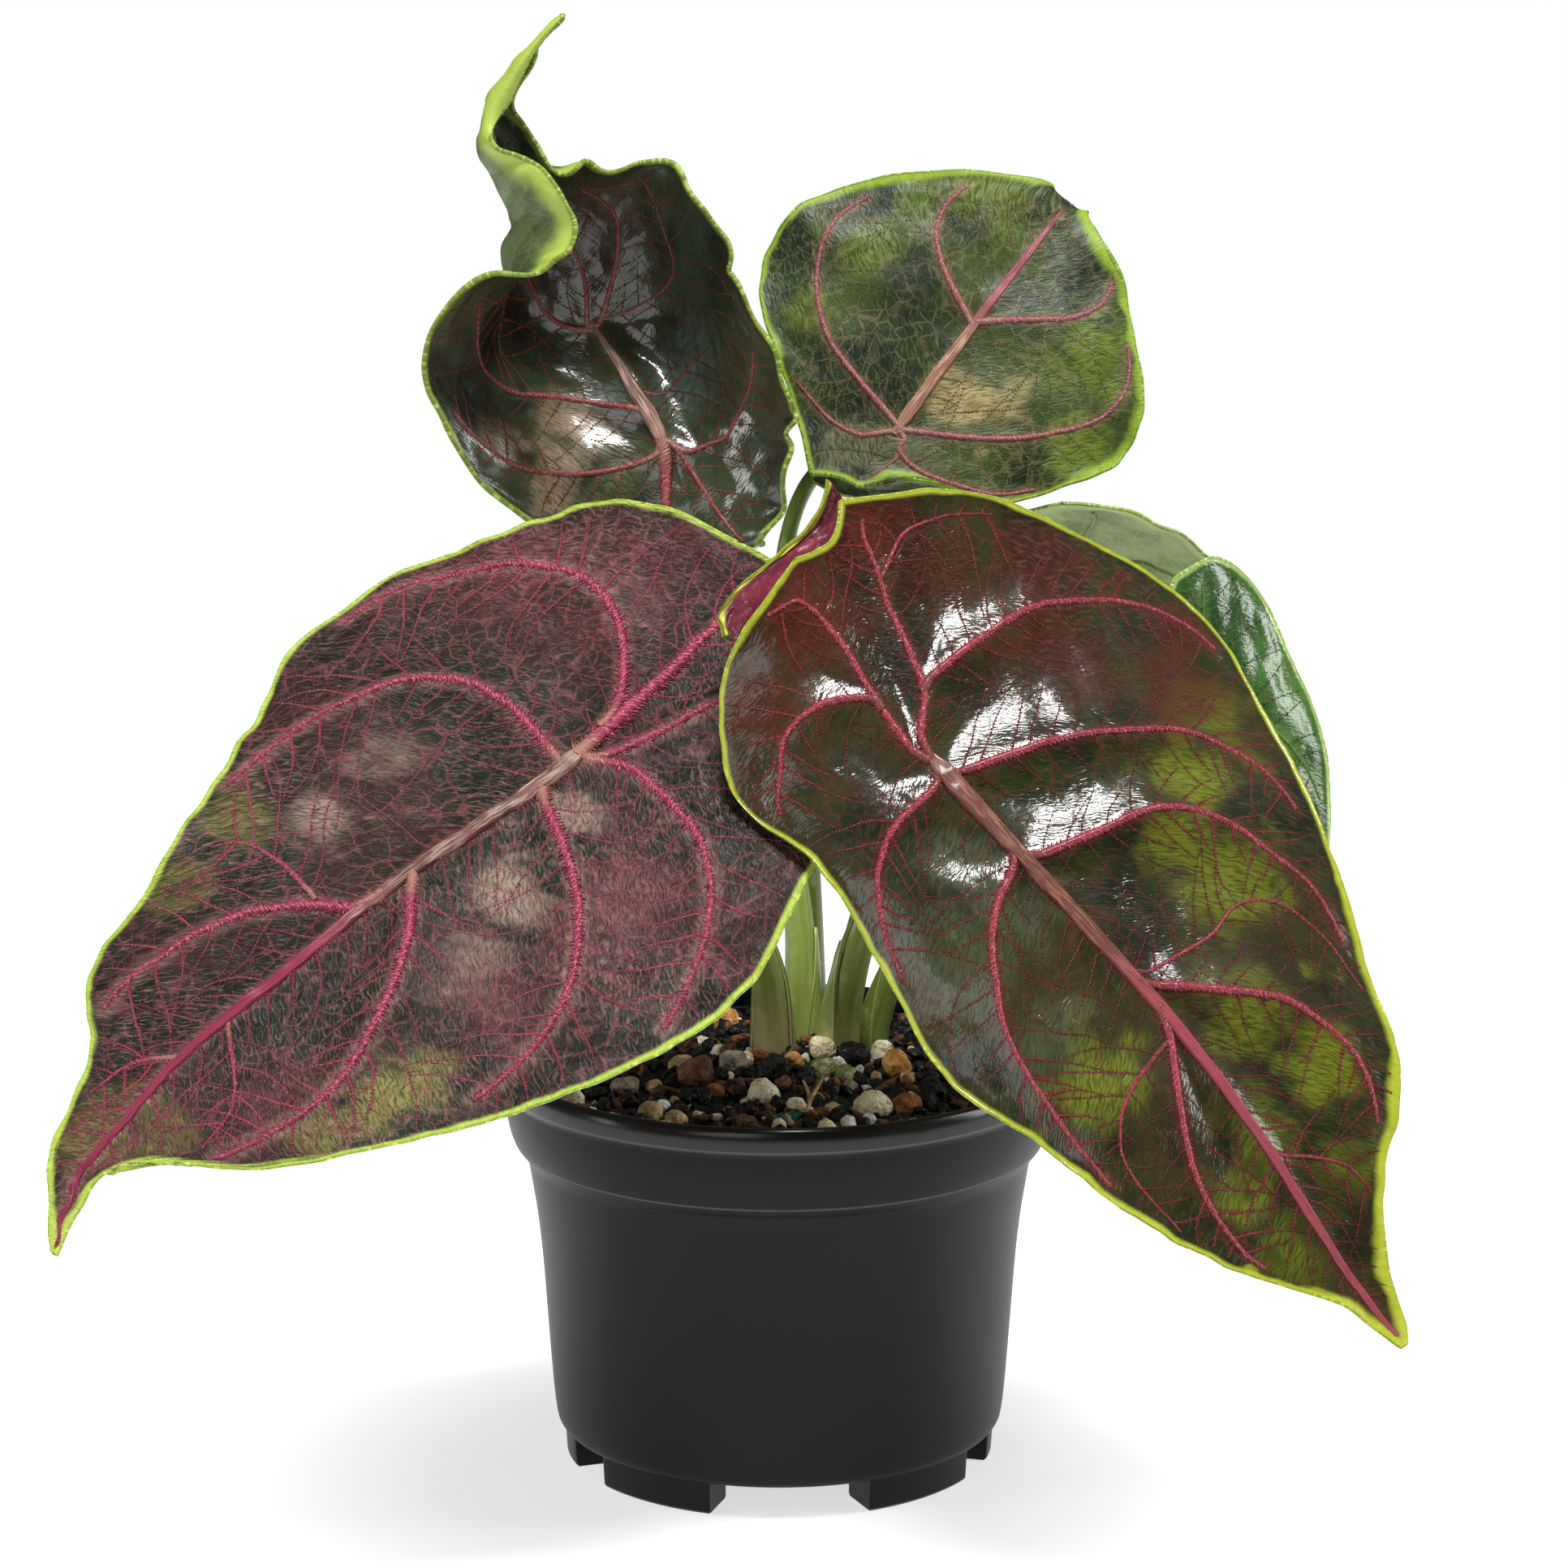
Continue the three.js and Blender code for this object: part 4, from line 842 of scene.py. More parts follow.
def midribPieces(blade, random, batches, found):
    # a corded rib from the stalk's end to the tip; behind the stalk it is a main vein
    leaf = blade.leaf
    first, last = leaf["midrib"]
    hubRow = max(first, leaf["hubRow"])
    t = np.linspace(0, 1, 210)
    row = hubRow - 0.12 + (last - hubRow + 0.12) * t
    across = np.zeros_like(row)
    centre, normal = blade.onFace(row, across)
    along = lengthAlong(centre)
    width = leaf["midribWidth"] * (1 - 0.76 * t ** 0.75) * (0.45 + 0.55 * smooth(0, 5, along))
    width = width + 0.12 * ripple(along, 0, 8, leaf["seed"] + 7)
    brown = 1 - smooth(*leaf["midribReddens"], along)
    ribbon(batches["midrib"], centre, normal, width, 0.3 * width, 0.3, cordedRib, brown)
    bristles(batches["hairs"], random, centre, normal, width * 1.02, 0.4, leaf["hairLength"] * 0.6)
    found += branchesAlong(random, row, across, centre, leaf["twigSpacing"] * 0.9)
    if first < hubRow - 0.3:
        row = hubRow + 0.05 + (first - hubRow) * t
        centre, normal = blade.onFace(row, across)
        width = leaf["midribWidth"] * 0.85 * (1 - 0.6 * t) + 0.1 * ripple(t * 60, 0, 5, leaf["seed"] + 8)
        ribbon(batches["ribs"], centre, normal, width, 0.3 * width)
        bristles(batches["hairs"], random, centre, normal, width, 0.42, leaf["hairLength"])
        found += branchesAlong(random, row, across, centre, leaf["twigSpacing"])
    row = leaf["hubRow"] + 0.2 + (last - leaf["hubRow"] - 0.2) * t[::3]
    low, lowNormal = blade.underneath(row, np.zeros_like(row))
    ribbon(batches["keels"], low, lowNormal, 3.4 - 2.4 * t[::3], 1.5 - 1.1 * t[::3])


# Orders of fine veins. Widths at root and tip and the stride are in millimetres, the lean off the
# parent vein is in degrees, and bend and wander turn each stride by so many radians.
fineOrders = [
    {"width": (0.78, 0.3), "lean": (54, 68), "bend": 0.011, "stride": 0.8, "steps": 46, "wander": 0.05,
     "fade": 1.0},
    {"width": (0.36, 0.2), "lean": (50, 85), "bend": 0.0, "stride": 0.7, "steps": 14, "wander": 0.08,
     "fade": 0.5},
]


def fineVeins(blade, random, batches, found):
    # side veins leave the main ones, and where a leaf has two orders finer ones leave those
    leaf = blade.leaf
    taken = {"cells": np.full((260, 180), -1), "next": 0}
    for k, order in enumerate(fineOrders[:leaf["netOrders"]]):
        trails = growFrom(blade, random, found, taken, order)
        found = []
        for row, across in trails:
            centre, normal = blade.onFace(row, across)
            t = np.linspace(0, 1, len(row))
            netting = blade.look(blade.netting, row, across)
            wide, slim = order["width"]
            width = leaf["twigWidth"] * (wide + (slim - wide) * t)
            width = width * (0.7 + 0.4 * netting)
            shade = order["fade"] * (0.35 + 0.65 * netting) * (1 - 0.4 * t)
            line = [values[::2] for values in (centre, normal, width, 0.4 * width)]
            ribbon(batches["twigs"], *line, 0.15, sharpRib, shade[::2])
            if k == 0:
                bristles(batches["twigs"], random, centre, normal, width, 1.1, 1.0, shade.mean())
            for start in branchesAlong(random, row, across, centre, leaf["netSpacing"]):
                if blade.look(blade.netting, np.array(start[0]), np.array(start[1])) > 0.3 + 0.15 * k:
                    found.append(start)
        if not found:
            break


def veinPieces(name, blade, skins):
    random = np.random.default_rng(blade.leaf["seed"] + 100)
    batches = {label: Batch() for label in ("midrib", "ribs", "hairs", "twigs", "keels")}
    found = []
    mainVeins(blade, random, batches, found)
    midribPieces(blade, random, batches, found)
    fineVeins(blade, random, batches, found)
    return [batch.piece(name + "_" + label, [skins[label]]) for label, batch in batches.items()]


def lobePiece(name, blade, lobe, materials):
    # a curled-back lobe: a strip from places just inside the blade's edge out to free points
    inner = blade.surface(*np.array(lobe["from"], float).T)
    free = np.array(lobe["to"], float)
    steps = len(free) - 1
    along, across = np.meshgrid(np.linspace(0, 1, 70), np.linspace(-1, 1, 26), indexing="ij")
    root, edge = rowAt(inner, along * steps), rowAt(free, along * steps)
    points = root + (edge - root) * (across[..., None] + 1) / 2
    points[..., 1] += lobe["hollow"] * (1 - across ** 2)
    normals = gridNormals(points)
    points = points + 0.25 * ripple(along * 40, across * 10, 6, 77)[..., None] * normals
    place = np.stack([along * 60, across * 12, np.zeros_like(along)], axis=-1).reshape(-1, 3)
    fields = {"leafPlace": place, "edge": ((1 - across) * 6).ravel(), "vein": np.full(along.size, 9.0)}
    return sheetPiece(name, points, normals, materials, fields)


hubPoints = {}  # where each leaf's stalk ends: a place behind the hub and the hub itself


def makeLeaf(name, leaf):
    blade = Blade(leaf)
    hubPoints[name] = [blade.surface(leaf["hubRow"], 0.0, -9.0), blade.surface(leaf["hubRow"], 0.0)]
    skin, colours = leaf["skin"], leaf["colours"]
    face = waxyLeafSkin("waxyLeafSkin_" + name, skin, leaf["patches"])
    beneath = leafUnderside("leafUnderside_" + name, colours["beneath"])
    rimColours = [skin["edge"], skin["edgePale"]] + [skin["edge"]] * 3
    rim = hairyVein("leafRim_" + name, rimColours, roughness=0.4)
    veinCoat = 0.25 * skin["coat"]
    skins = {
        "midrib": hairyVein("cordedMidrib_" + name, colours["midrib"], 7.0, 0.0, 0.42, veinCoat),
        "ribs": hairyVein("hairyVein_" + name, colours["vein"], coat=veinCoat),
        "twigs": hairyVein("fineVein_" + name, colours["twig"], roughness=0.45),
        "keels": hairyVein("veinBeneath_" + name, colours["keel"], roughness=0.5),
    }
    skins["hairs"] = skins["ribs"]
    piece = bladePiece("leaf_" + name + "_blade", blade, [face, beneath, rim])
    pieces = [piece, marginBead("leaf_" + name + "_margin", blade, rim)]
    pieces += veinPieces("leaf_" + name, blade, skins)
    if "lobe" in leaf:
        lobeFace = waxyLeafSkin("waxyLobeSkin_" + name, dict(skin, **leaf["lobe"]["skin"]), {})
        pieces.append(lobePiece("leaf_" + name + "_lobe", blade, leaf["lobe"], [lobeFace, lobeFace, rim]))
    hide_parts("leaf_" + name)
    for each in pieces:
        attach(each, "root")
    triangles = sum(len(p.vertices) - 2 for each in pieces for p in each.data.polygons)
    print("leaf", name, "done:", triangles, "triangles")


# Leaves. Shape rows repeat the CAD solids; the rest is what the solids leave to this script. A vein
# passes through [row, across] places, and a patch is [row, across, radius in mm, strength]. Pale and
# grey patches are partly the skin's own tone and partly painted sheen, and shade patches are painted shade.
mauveKeel = ["#a3907a", "#b87a74", "#8f8a62", "#a3907a", "#a3907a"]
mauveBeneath = ["#6e6658", "#7d8062", "#9a7a70", "#b5c468"]
greenKeel = ["#93a05c", "#b0b985", "#8f8a62", "#93a05c", "#93a05c"]
leafFrontLeft = {
    "hub": [-40.4, -44, 162.8], "forward": [-101.3, -64.8, -86], "face": [-0.3, -0.8, 0.52], "hubRow": 4,
    "rows": [
        [-59, -58, -8, -58, 6], [-48, -54, -28, -52, 20], [-34, -44, -44, -42, 36],
        [-18, -26, -55, -28, 47],
        [0, -8, -66, -8, 56], [18, 18, -67, 14, 63], [40, 44, -57, 38, 61], [64, 76, -45, 62, 51],
        [90, 100, -40, 84, 39], [112, 111, -28, 106, 20], [130, 131, -20, 124, -5],
        [140, 140, -11, 137, -6],
        [146, 146, -4, 146, -2],
    ],
    "bend": [[-60, -10], [0, 4], [60, 2], [120, -12], [146, 2]],
    "sway": [[0, 0], [60, -7], [112, -12], [130, -12], [139, -8], [146, -3]],
    "fold": [[0, 10]], "cup": [[0, -30]], "cupWidth": 80, "wave": 1.1, "waves": 6, "ruffle": [0.8, 0.3],
    "scallop": [0.2, 0.25],
    "midrib": [0.6, 11.7], "midribWidth": 4.4, "midribReddens": [48, 75], "veinWidths": [2.5, 0.9],
    "veins": [
        [[3.6, -0.02], [3.12, -0.07], [2.54, -0.27], [2.36, -0.5], [2.56, -0.7], [3.02, -0.84],
         [3.47, -0.88],
         [4.06, -0.93], [4.6, -0.95]],
        [[4.3, 0], [4.21, -0.05], [4.13, -0.26], [4.24, -0.42], [4.69, -0.58], [5.22, -0.69], [5.92, -0.86],
         [6.3, -0.93]],
        [[4, 0.02], [3.84, 0.09], [3.29, 0.19], [2.52, 0.33], [1.7, 0.6]],
        [[4, 0.02], [3.96, 0.07], [3.81, 0.24], [3.96, 0.45], [4.15, 0.61], [4.5, 0.72], [4.94, 0.8],
         [5.4, 0.87],
         [5.83, 0.94]],
        [[4.6, 0.01], [4.74, 0.07], [5.02, 0.24], [5.36, 0.42], [5.69, 0.55], [6.08, 0.67], [6.46, 0.76],
         [6.85, 0.83], [7.33, 0.89]],
        [[6.1, 0.01], [6.32, 0.1], [6.56, 0.2], [6.92, 0.31], [7.31, 0.42], [7.79, 0.55], [8.19, 0.63],
         [8.68, 0.7],
         [9.15, 0.75]],
        [[6.4, 0], [6.66, -0.03], [6.84, -0.18], [7.05, -0.35], [7.25, -0.48], [7.53, -0.6], [7.78, -0.66],
         [8.05, -0.74], [8.44, -0.85]],
    ],
    "thinVeins": [
        [[6.81, -0.2], [6.67, -0.47], [6.63, -0.7], [6.74, -0.84]],
        [[8.5, -0.02], [8.76, -0.35], [9.34, -0.76]],
        [[7.9, 0], [8.04, 0.05], [8.53, 0.39], [9.09, 0.6]],
    ],
    "gridRows": 166, "gridColumns": 96, "ridge": 3.0, "ridgeReach": 6.5, "unevenness": 0.25, "seed": 1,
    "puckers": 0.12, "netOrders": 2,
    "twigSpacing": 7.0, "twigWidth": 1.0, "netSpacing": 4, "netting": [0.35, 0.65], "hairLength": 0.7,
    "rimRadius": 0.36,
    "wideMargin": [[11.9, 0, 18, 0.5]], "slot": "leaf_purple",
    "skin": {
        "dark": "#0e150c", "mid": "#20271a", "warm": "#30201a", "pale": "#a08c7c", "olive": "#83813c",
        "blush": "#5f3436", "shade": "#10180f", "cloudSize": 10.0, "net": 0.35, "mesh": 4.2,
        "netColour": "#9a545c", "fibreTurn": 0.95,
        "silk": 0.65, "silkColour": "#8f7468", "halo": 0.4, "haloWidth": 3.2, "haloColour": "#a87c74",
        "edge": "#8fa83a", "edgePale": "#c4d860", "marginWidth": 0.9, "roughness": 0.44, "specular": 0.2,
        "fibreDepth": 0.7, "waxDepth": 0.2, "coat": 0.03, "coatRoughness": 0.3,
    },
    "colours": {
        "vein": ["#7c1c38", "#cf6f88", "#962c4a", "#a8836c", "#7c1c38"],
        "midrib": ["#573a30", "#a88a7c", "#7a4a48", "#b39a80", "#8a2c46"],
        "twig": ["#98304a", "#c4687e", "#84283c", "#98304a", "#6a343c"],
        "keel": mauveKeel, "beneath": mauveBeneath,
    },
    "patches": {
        "pale": [[5.74, 0.27, 11, 0.75], [4.59, 0.17, 8, 0.7], [6.15, -0.49, 9, 0.6], [6.33, 0.4, 11, 0.45],
                 [5.35, -0.43, 9, 0.35]],
        "olive": [[6.46, -0.8, 10, 0.45], [7.78, 0.73, 10, 0.8], [7.45, 0.72, 8, 0.7],
                  [9.59, -0.23, 12, 0.4], [9.11, 0.26, 10, 0.35], [8.4, 0.8, 9, 0.6],
                  [7.1, -0.85, 10, 0.45]],
        "blush": [[4.5, 0.36, 9, 0.4], [5.03, 0.53, 15, 0.9], [1.99, -0.6, 22, 0.5], [2.77, -0.83, 18, 0.7],
                  [3.5, -0.9, 14, 0.5], [8.2, 0.5, 14, 0.4], [5.7, 0.6, 15, 0.6], [6.5, 0.55, 14, 0.5]],
        "shade": [[4.39, -0.46, 17, 0.9], [4.27, -0.34, 14, 0.9], [7.19, -0.25, 18, 0.9],
                  [3.71, -0.07, 10, 0.9], [3.76, 0.28, 13, 0.9], [3.86, 0.5, 12, 0.9], [6.52, 0.23, 9, 0.7],
                  [7.37, 0.31, 13, 0.8], [2.19, 0.15, 13, 0.8]],
    },
}
makeLeaf("front_left", leafFrontLeft)

leafFrontRight = {
    "hub": [30.9, -62, 165], "forward": [92, -50, -107.5], "face": [0.33, -0.84, 0.42], "hubRow": 4.5,
    "rows": [
        [-50, -51, 4, -56, 19], [-44, -47, -7, -50, 32], [-34, -41, -20, -43, 44], [-22, -31, -29, -28, 57],
        [-8, -18, -35, -8, 69], [8, 2, -31, 14, 71], [26, 26, -35, 36, 65], [46, 50, -39, 61, 55],
        [68, 74, -33, 86, 44], [92, 97, -27, 105, 35], [114, 114, -18, 120, 20], [132, 131, -4, 133, 11],
        [142, 140, 0, 143, 7], [148, 148, 2, 148, 4],
    ],
    "bend": [[-60, -14], [0, 6], [60, 2], [120, -14], [148, 4]],
    "sway": [[-50, 11], [0, 0], [80, 3], [148, 3]],
    "fold": [[0, 12]], "cup": [[0, -34]], "foldRight": [[0, 4]],
    "cupRight": [[0, -95], [50, -70], [120, -34]], "cupWidth": 80, "wave": 1, "waves": 6,
    "ruffle": [0.3, 0.25], "scallop": [0.2, 0.2],
    "midrib": [4.4, 12.5], "midribWidth": 4.8, "midribReddens": [50, 70], "veinWidths": [2.3, 0.8],
    "veins": [
        [[4.5, 0], [4.1, 0.02], [3.6, 0.11], [2.77, 0.15], [1.91, 0.2], [0.86, 0.41], [0.5, 0.7]],
        [[4.5, 0], [4.2, -0.06], [3.77, -0.08], [3.11, -0.13], [2.26, -0.2], [1.55, -0.36], [1.15, -0.59],
         [1.25, -0.85]],
        [[3.5, -0.1], [3.26, -0.14], [3.01, -0.4], [3.19, -0.64], [3.71, -0.74], [4.23, -0.87]],
        [[3.62, 0.1], [3.52, 0.17], [3.5, 0.38], [3.58, 0.59], [3.85, 0.73], [4.2, 0.85], [4.61, 0.92],
         [4.96, 0.95]],
        [[4.6, 0], [4.77, 0.03], [4.98, 0.19], [5.19, 0.37], [5.42, 0.52], [5.7, 0.7], [5.97, 0.8],
         [6.26, 0.88],
         [6.65, 0.93]],
        [[5.95, 0], [6.1, 0.06], [6.23, 0.27], [6.27, 0.43], [6.41, 0.56], [6.7, 0.69], [6.97, 0.77],
         [7.3, 0.88],
         [7.73, 0.93]],
        [[4.6, -0.02], [4.77, -0.11], [4.93, -0.46], [5.24, -0.71], [5.55, -0.83], [5.83, -0.89],
         [6.18, -0.93]],
        [[5.85, 0], [6.03, -0.08], [6.24, -0.28], [6.51, -0.43], [6.82, -0.53], [7.11, -0.63],
         [7.57, -0.75],
         [8.03, -0.85], [8.65, -0.94]],
        [[7.6, 0], [7.75, 0.06], [8.07, 0.32], [8.26, 0.55], [8.46, 0.66], [8.75, 0.77], [9.07, 0.83],
         [9.42, 0.87]],
        [[7.9, 0], [8.17, -0.07], [8.48, -0.22], [8.81, -0.39], [9.22, -0.57], [9.75, -0.72],
         [10.29, -0.83]],
    ],
    "thinVeins": [
        [[1.69, 0.21], [1.38, 0.6], [1.79, 0.81], [2.39, 0.91]],
        [[8.2, -0.09], [8.29, -0.46], [8.43, -0.66], [8.69, -0.8], [9.4, -0.92]],
        [[7.5, 0], [7.62, 0.11], [7.56, 0.4], [7.36, 0.57], [7.4, 0.73], [7.75, 0.87], [8.15, 0.95]],
        [[9.3, 0], [9.49, 0.06], [9.65, 0.35], [9.81, 0.64], [10.08, 0.86]],
    ],
    "lobe": {
        "from": [[0.25, 0.85], [0.22, 0.1], [0.3, -0.85], [0.85, -0.9], [1.3, -0.92], [1.7, -0.93]],
        "to": [[10, -36, 219], [7, -37, 211], [0, -39, 204], [-8, -41, 198], [-12, -44, 193],
               [-11, -48, 189]],
        "hollow": 2.5,
        "skin": {"dark": "#4a1424", "mid": "#7c2c3c", "warm": "#5e1c2e", "edge": "#a5ab34",
                 "edgePale": "#cfd25c", "marginWidth": 1.6, "coat": 0.4, "silk": 0.4,
                 "silkColour": "#c8808c"},
    },
    "gridRows": 166, "gridColumns": 96, "ridge": 2.6, "ridgeReach": 5.5, "unevenness": 0.15, "seed": 2,
    "puckers": 0.05, "netOrders": 1,
    "twigSpacing": 5.0, "twigWidth": 0.95, "netSpacing": 4.5, "netting": [0.1, 0.55], "hairLength": 0.5,
    "rimRadius": 0.36,
    "wideMargin": [[8, 1, 26, 0.6], [9.5, 1, 26, 0.9], [11, 1, 22, 0.9], [12.6, 0, 24, 1.0]],
    "slot": "leaf_bronze",
    "skin": {
        "dark": "#131a0c", "mid": "#222a12", "warm": "#302c12", "olive": "#687218",
        "blush": "#451912", "shade": "#12160b", "grey": "#3e4630", "cloudSize": 12.0, "net": 0.35,
        "mesh": 4.5, "netColour": "#5a2a1e", "fibreTurn": 1.0,
        "silk": 0.3, "silkColour": "#6a5a38", "halo": 0.3, "haloWidth": 2.6, "haloColour": "#6a2f2a",
        "edge": "#8a9624", "edgePale": "#b8bf3c", "marginWidth": 0.8, "roughness": 0.4, "specular": 0.12,
        "fibreDepth": 0.1, "waxDepth": 0.12, "coat": 1.0, "coatRoughness": 0.13,
    },
    "colours": {
        "vein": ["#741528", "#c25462", "#8a2430", "#6a3a28", "#741528"],
        "midrib": ["#5a3022", "#8f5c48", "#6a3c2c", "#6a4030", "#96404c"],
        "twig": ["#84202c", "#a83c48", "#6a2020", "#84202c", "#401c14"],
        "keel": mauveKeel, "beneath": mauveBeneath,
    },
    "patches": {
        "olive": [[7.1, 0.58, 15, 0.7], [6.6, 0.49, 11, 0.6], [8.01, -0.55, 13, 0.8], [6.12, 0.64, 12, 0.8],
                  [9.26, 0, 12, 0.5], [8.3, 0.35, 12, 0.6], [8.9, 0.6, 12, 0.8], [5.6, 0.8, 12, 0.6],
                  [9.6, -0.35, 10, 0.7], [10.3, -0.3, 12, 0.6], [9.9, 0.6, 10, 0.6]],
        "blush": [[0.43, 0.59, 18, 0.9], [1.55, -0.39, 17, 0.9], [2.22, 0.51, 16, 0.6],
                  [4.16, 0.53, 18, 0.7], [5.22, 0.75, 16, 0.8], [2.6, -0.8, 16, 0.8], [4.6, 0.88, 12, 0.7],
                  [3.2, 0.8, 16, 0.8]],
        "shade": [[4.7, -0.44, 17, 0.9], [5.01, 0.35, 9, 0.8], [4.01, 0.24, 10, 0.8], [7.25, 0.14, 14, 0.9],
                  [10.3, 0.31, 16, 0.8], [8.95, -0.33, 13, 0.6], [2.9, 0.02, 12, 0.8]],
        "grey": [[5.61, -0.3, 10, 0.9], [6.44, -0.25, 11, 0.9], [7.52, -0.58, 11, 0.6],
                 [6.6, -0.59, 14, 0.9], [6.05, -0.66, 13, 0.6]],
    },
}
makeLeaf("front_right", leafFrontRight)

leafUpperLeft = {
    "hubRow": 2,
    "sections": [
        [[-47, 12, 198], [-35, 14, 192], [-23, 14, 191], [-14, 13, 192], [-5, 12, 196]],
        [[-61, 6, 210], [-45, 18, 200], [-24, 18, 204], [-12, 16, 201], [-1, 8, 204]],
        [[-70, 0, 224], [-47, 24, 210], [-25, 23, 218], [-10, 24, 214], [3, 6, 220]],
        [[-74, -2, 237], [-55, 32, 218], [-32, 29, 230], [-12, 32, 225], [3, 6, 230]],
        [[-71, -4, 249], [-60, 38, 226], [-37, 34, 237], [-16, 38, 233], [-3, 6, 244]],
        [[-60, -6, 257], [-65, 42, 234], [-40, 36, 242], [-19, 40, 242], [-8, 8, 254]],
        [[-49, -8, 259], [-70, 38, 247], [-42, 35, 248], [-23, 38, 250], [-10, 10, 260]],
        [[-44, -10, 262], [-72, 28, 260], [-44, 33, 255], [-30, 36, 258], [-16, 12, 269]],
        [[-43, -8, 270], [-67, 20, 266], [-47, 29, 264], [-37, 30, 267], [-25, 14, 279]],
        [[-47, -4, 277], [-68, 16, 273], [-53, 24, 274], [-45, 26, 273], [-38, 14, 277]],
        [[-55, 2, 281], [-68, 12, 281], [-59, 18, 282], [-53, 20, 280], [-47, 14, 279]],
        [[-60, 4, 285], [-63, 8, 288], [-61, 14, 289], [-57, 16, 288], [-54, 14, 286]],
        [[-57, 8, 291], [-58.6, 6, 292.5], [-59.8, 11, 293], [-58, 15, 292.5], [-56.2, 14, 291.5]],
        [[-52.6, 7, 299], [-53.8, 5, 299.8], [-54.6, 9, 300], [-53.2, 12, 299.6], [-52, 11, 299]],
        [[-48.2, 6, 305.6], [-48.8, 5, 306.2], [-49.2, 7, 306.2], [-48.6, 9, 306], [-48, 8, 305.6]],
        [[-44.6, 6, 309.4], [-44.8, 6, 309.6], [-44.9, 6.2, 309.6], [-44.8, 6.6, 309.6],
         [-44.6, 6.6, 309.4]],
    ],
    "wave": 0.8, "waves": 8, "ruffle": [1.5, 0.25], "scallop": [1.2, 0.2],
    "midrib": [0.5, 5.2], "midribWidth": 4.2, "midribReddens": [60, 80], "veinWidths": [1.8, 0.6],
    "veins": [
        [[5.0, -0.01], [5.08, -0.03], [6.13, -0.16], [7, -0.34], [7.58, -0.47], [8.04, -0.5], [8.6, -0.5]],
        [[5.0, 0], [5.14, 0.02], [6.52, -0.03], [7.45, -0.04], [8.6, -0.05]],
        [[4.8, 0.01], [5.17, 0.12], [5.68, 0.22], [6.04, 0.24], [6.6, 0.3]],
        [[2.4, 0], [2.53, 0.02], [2.79, 0.14], [3.13, 0.34], [3.27, 0.55], [3.52, 0.68], [3.96, 0.75],
         [4.46, 0.8],
         [4.8, 0.88]],
        [[1.9, 0], [1.81, 0.07], [1.77, 0.21], [1.7, 0.47], [1.73, 0.71], [1.95, 0.85], [2.39, 0.93]],
        [[2.0, 0], [1.92, -0.18], [2.1, -0.35], [2.34, -0.53], [3.19, -0.74], [3.82, -0.88]],
        [[2.05, 0], [1.95, -0.08], [1.56, -0.25], [0.89, -0.59], [0.6, -0.8]],
    ],
    "thinVeins": [
        [[2.8, 0], [2.91, -0.17], [3.61, -0.39], [4.09, -0.61]],
        [[5.2, -0.05], [5.35, -0.17], [5.78, -0.46], [6.41, -0.64], [7.29, -0.73], [8.11, -0.85]],
        [[1.94, 0.03], [1.42, 0.02], [1.03, -0.05]],
    ],
    "gridRows": 166, "gridColumns": 90, "ridge": 1.6, "ridgeReach": 5, "unevenness": 0.25, "seed": 3,
    "puckers": 0.05, "netOrders": 1,
    "twigSpacing": 5, "twigWidth": 0.75, "netSpacing": 6, "netting": [0.45, 0.2], "hairLength": 0.3,
    "rimRadius": 0.5,
    "wideMargin": [[4.6, 1, 22, 0.5], [6.5, 1, 30, 0.8], [9, 0.6, 26, 0.6], [12.5, 0, 16, 1.0],
                   [14.4, 0, 20, 1.0]], "slot": "leaf_bronze",
    "skin": {
        "dark": "#172219", "mid": "#2a3d2c", "warm": "#303a20", "pale": "#a08a72", "olive": "#5c6038",
        "blush": "#8f7a62", "shade": "#140c06", "grey": "#5c6e68", "cloudSize": 14.0, "net": 0.3,
        "mesh": 4.0, "netColour": "#54301e", "fibreTurn": 0.9,
        "silk": 0.25, "silkColour": "#6a6450", "halo": 0.2, "haloWidth": 2.6, "haloColour": "#7c6a54",
        "edge": "#6f8428", "edgePale": "#a8bc58", "marginWidth": 0.7, "roughness": 0.3, "specular": 0.3,
        "fibreDepth": 0.12, "waxDepth": 0.06, "coat": 1.0, "coatRoughness": 0.06,
    },
    "colours": {
        "vein": ["#7c2832", "#c07070", "#8a4038", "#a8806c", "#7c2832"],
        "midrib": ["#8a6454", "#c4a090", "#6e4c3c", "#b08c78", "#8a4a40"],
        "twig": ["#8c3c34", "#a85c4c", "#743828", "#8c3c34", "#4a3420"],
        "keel": greenKeel,
        "beneath": ["#46542e", "#617242", "#7a8854", "#a2b64c"],
    },
    "patches": {
        "pale": [[1.83, 0.5, 9, 0.8], [2.2, 0.75, 8, 0.7], [2.4, 0.3, 8, 0.8], [1.4, 0.6, 8, 0.8]],
        "olive": [[1.2, 0.3, 10, 0.5], [1.9, 0.2, 8, 0.5]],
        "blush": [[2.7, 0.42, 7, 0.6]],
        "shade": [[7.34, -0.26, 18, 0.9], [5.9, 0.4, 16, 0.9], [7, 0.2, 18, 0.9]],
        "grey": [[3.4, -0.35, 12, 0.6], [2.9, 0.1, 7, 0.6], [4.2, -0.5, 9, 0.4]],
    },
}
makeLeaf("upper_left", leafUpperLeft)

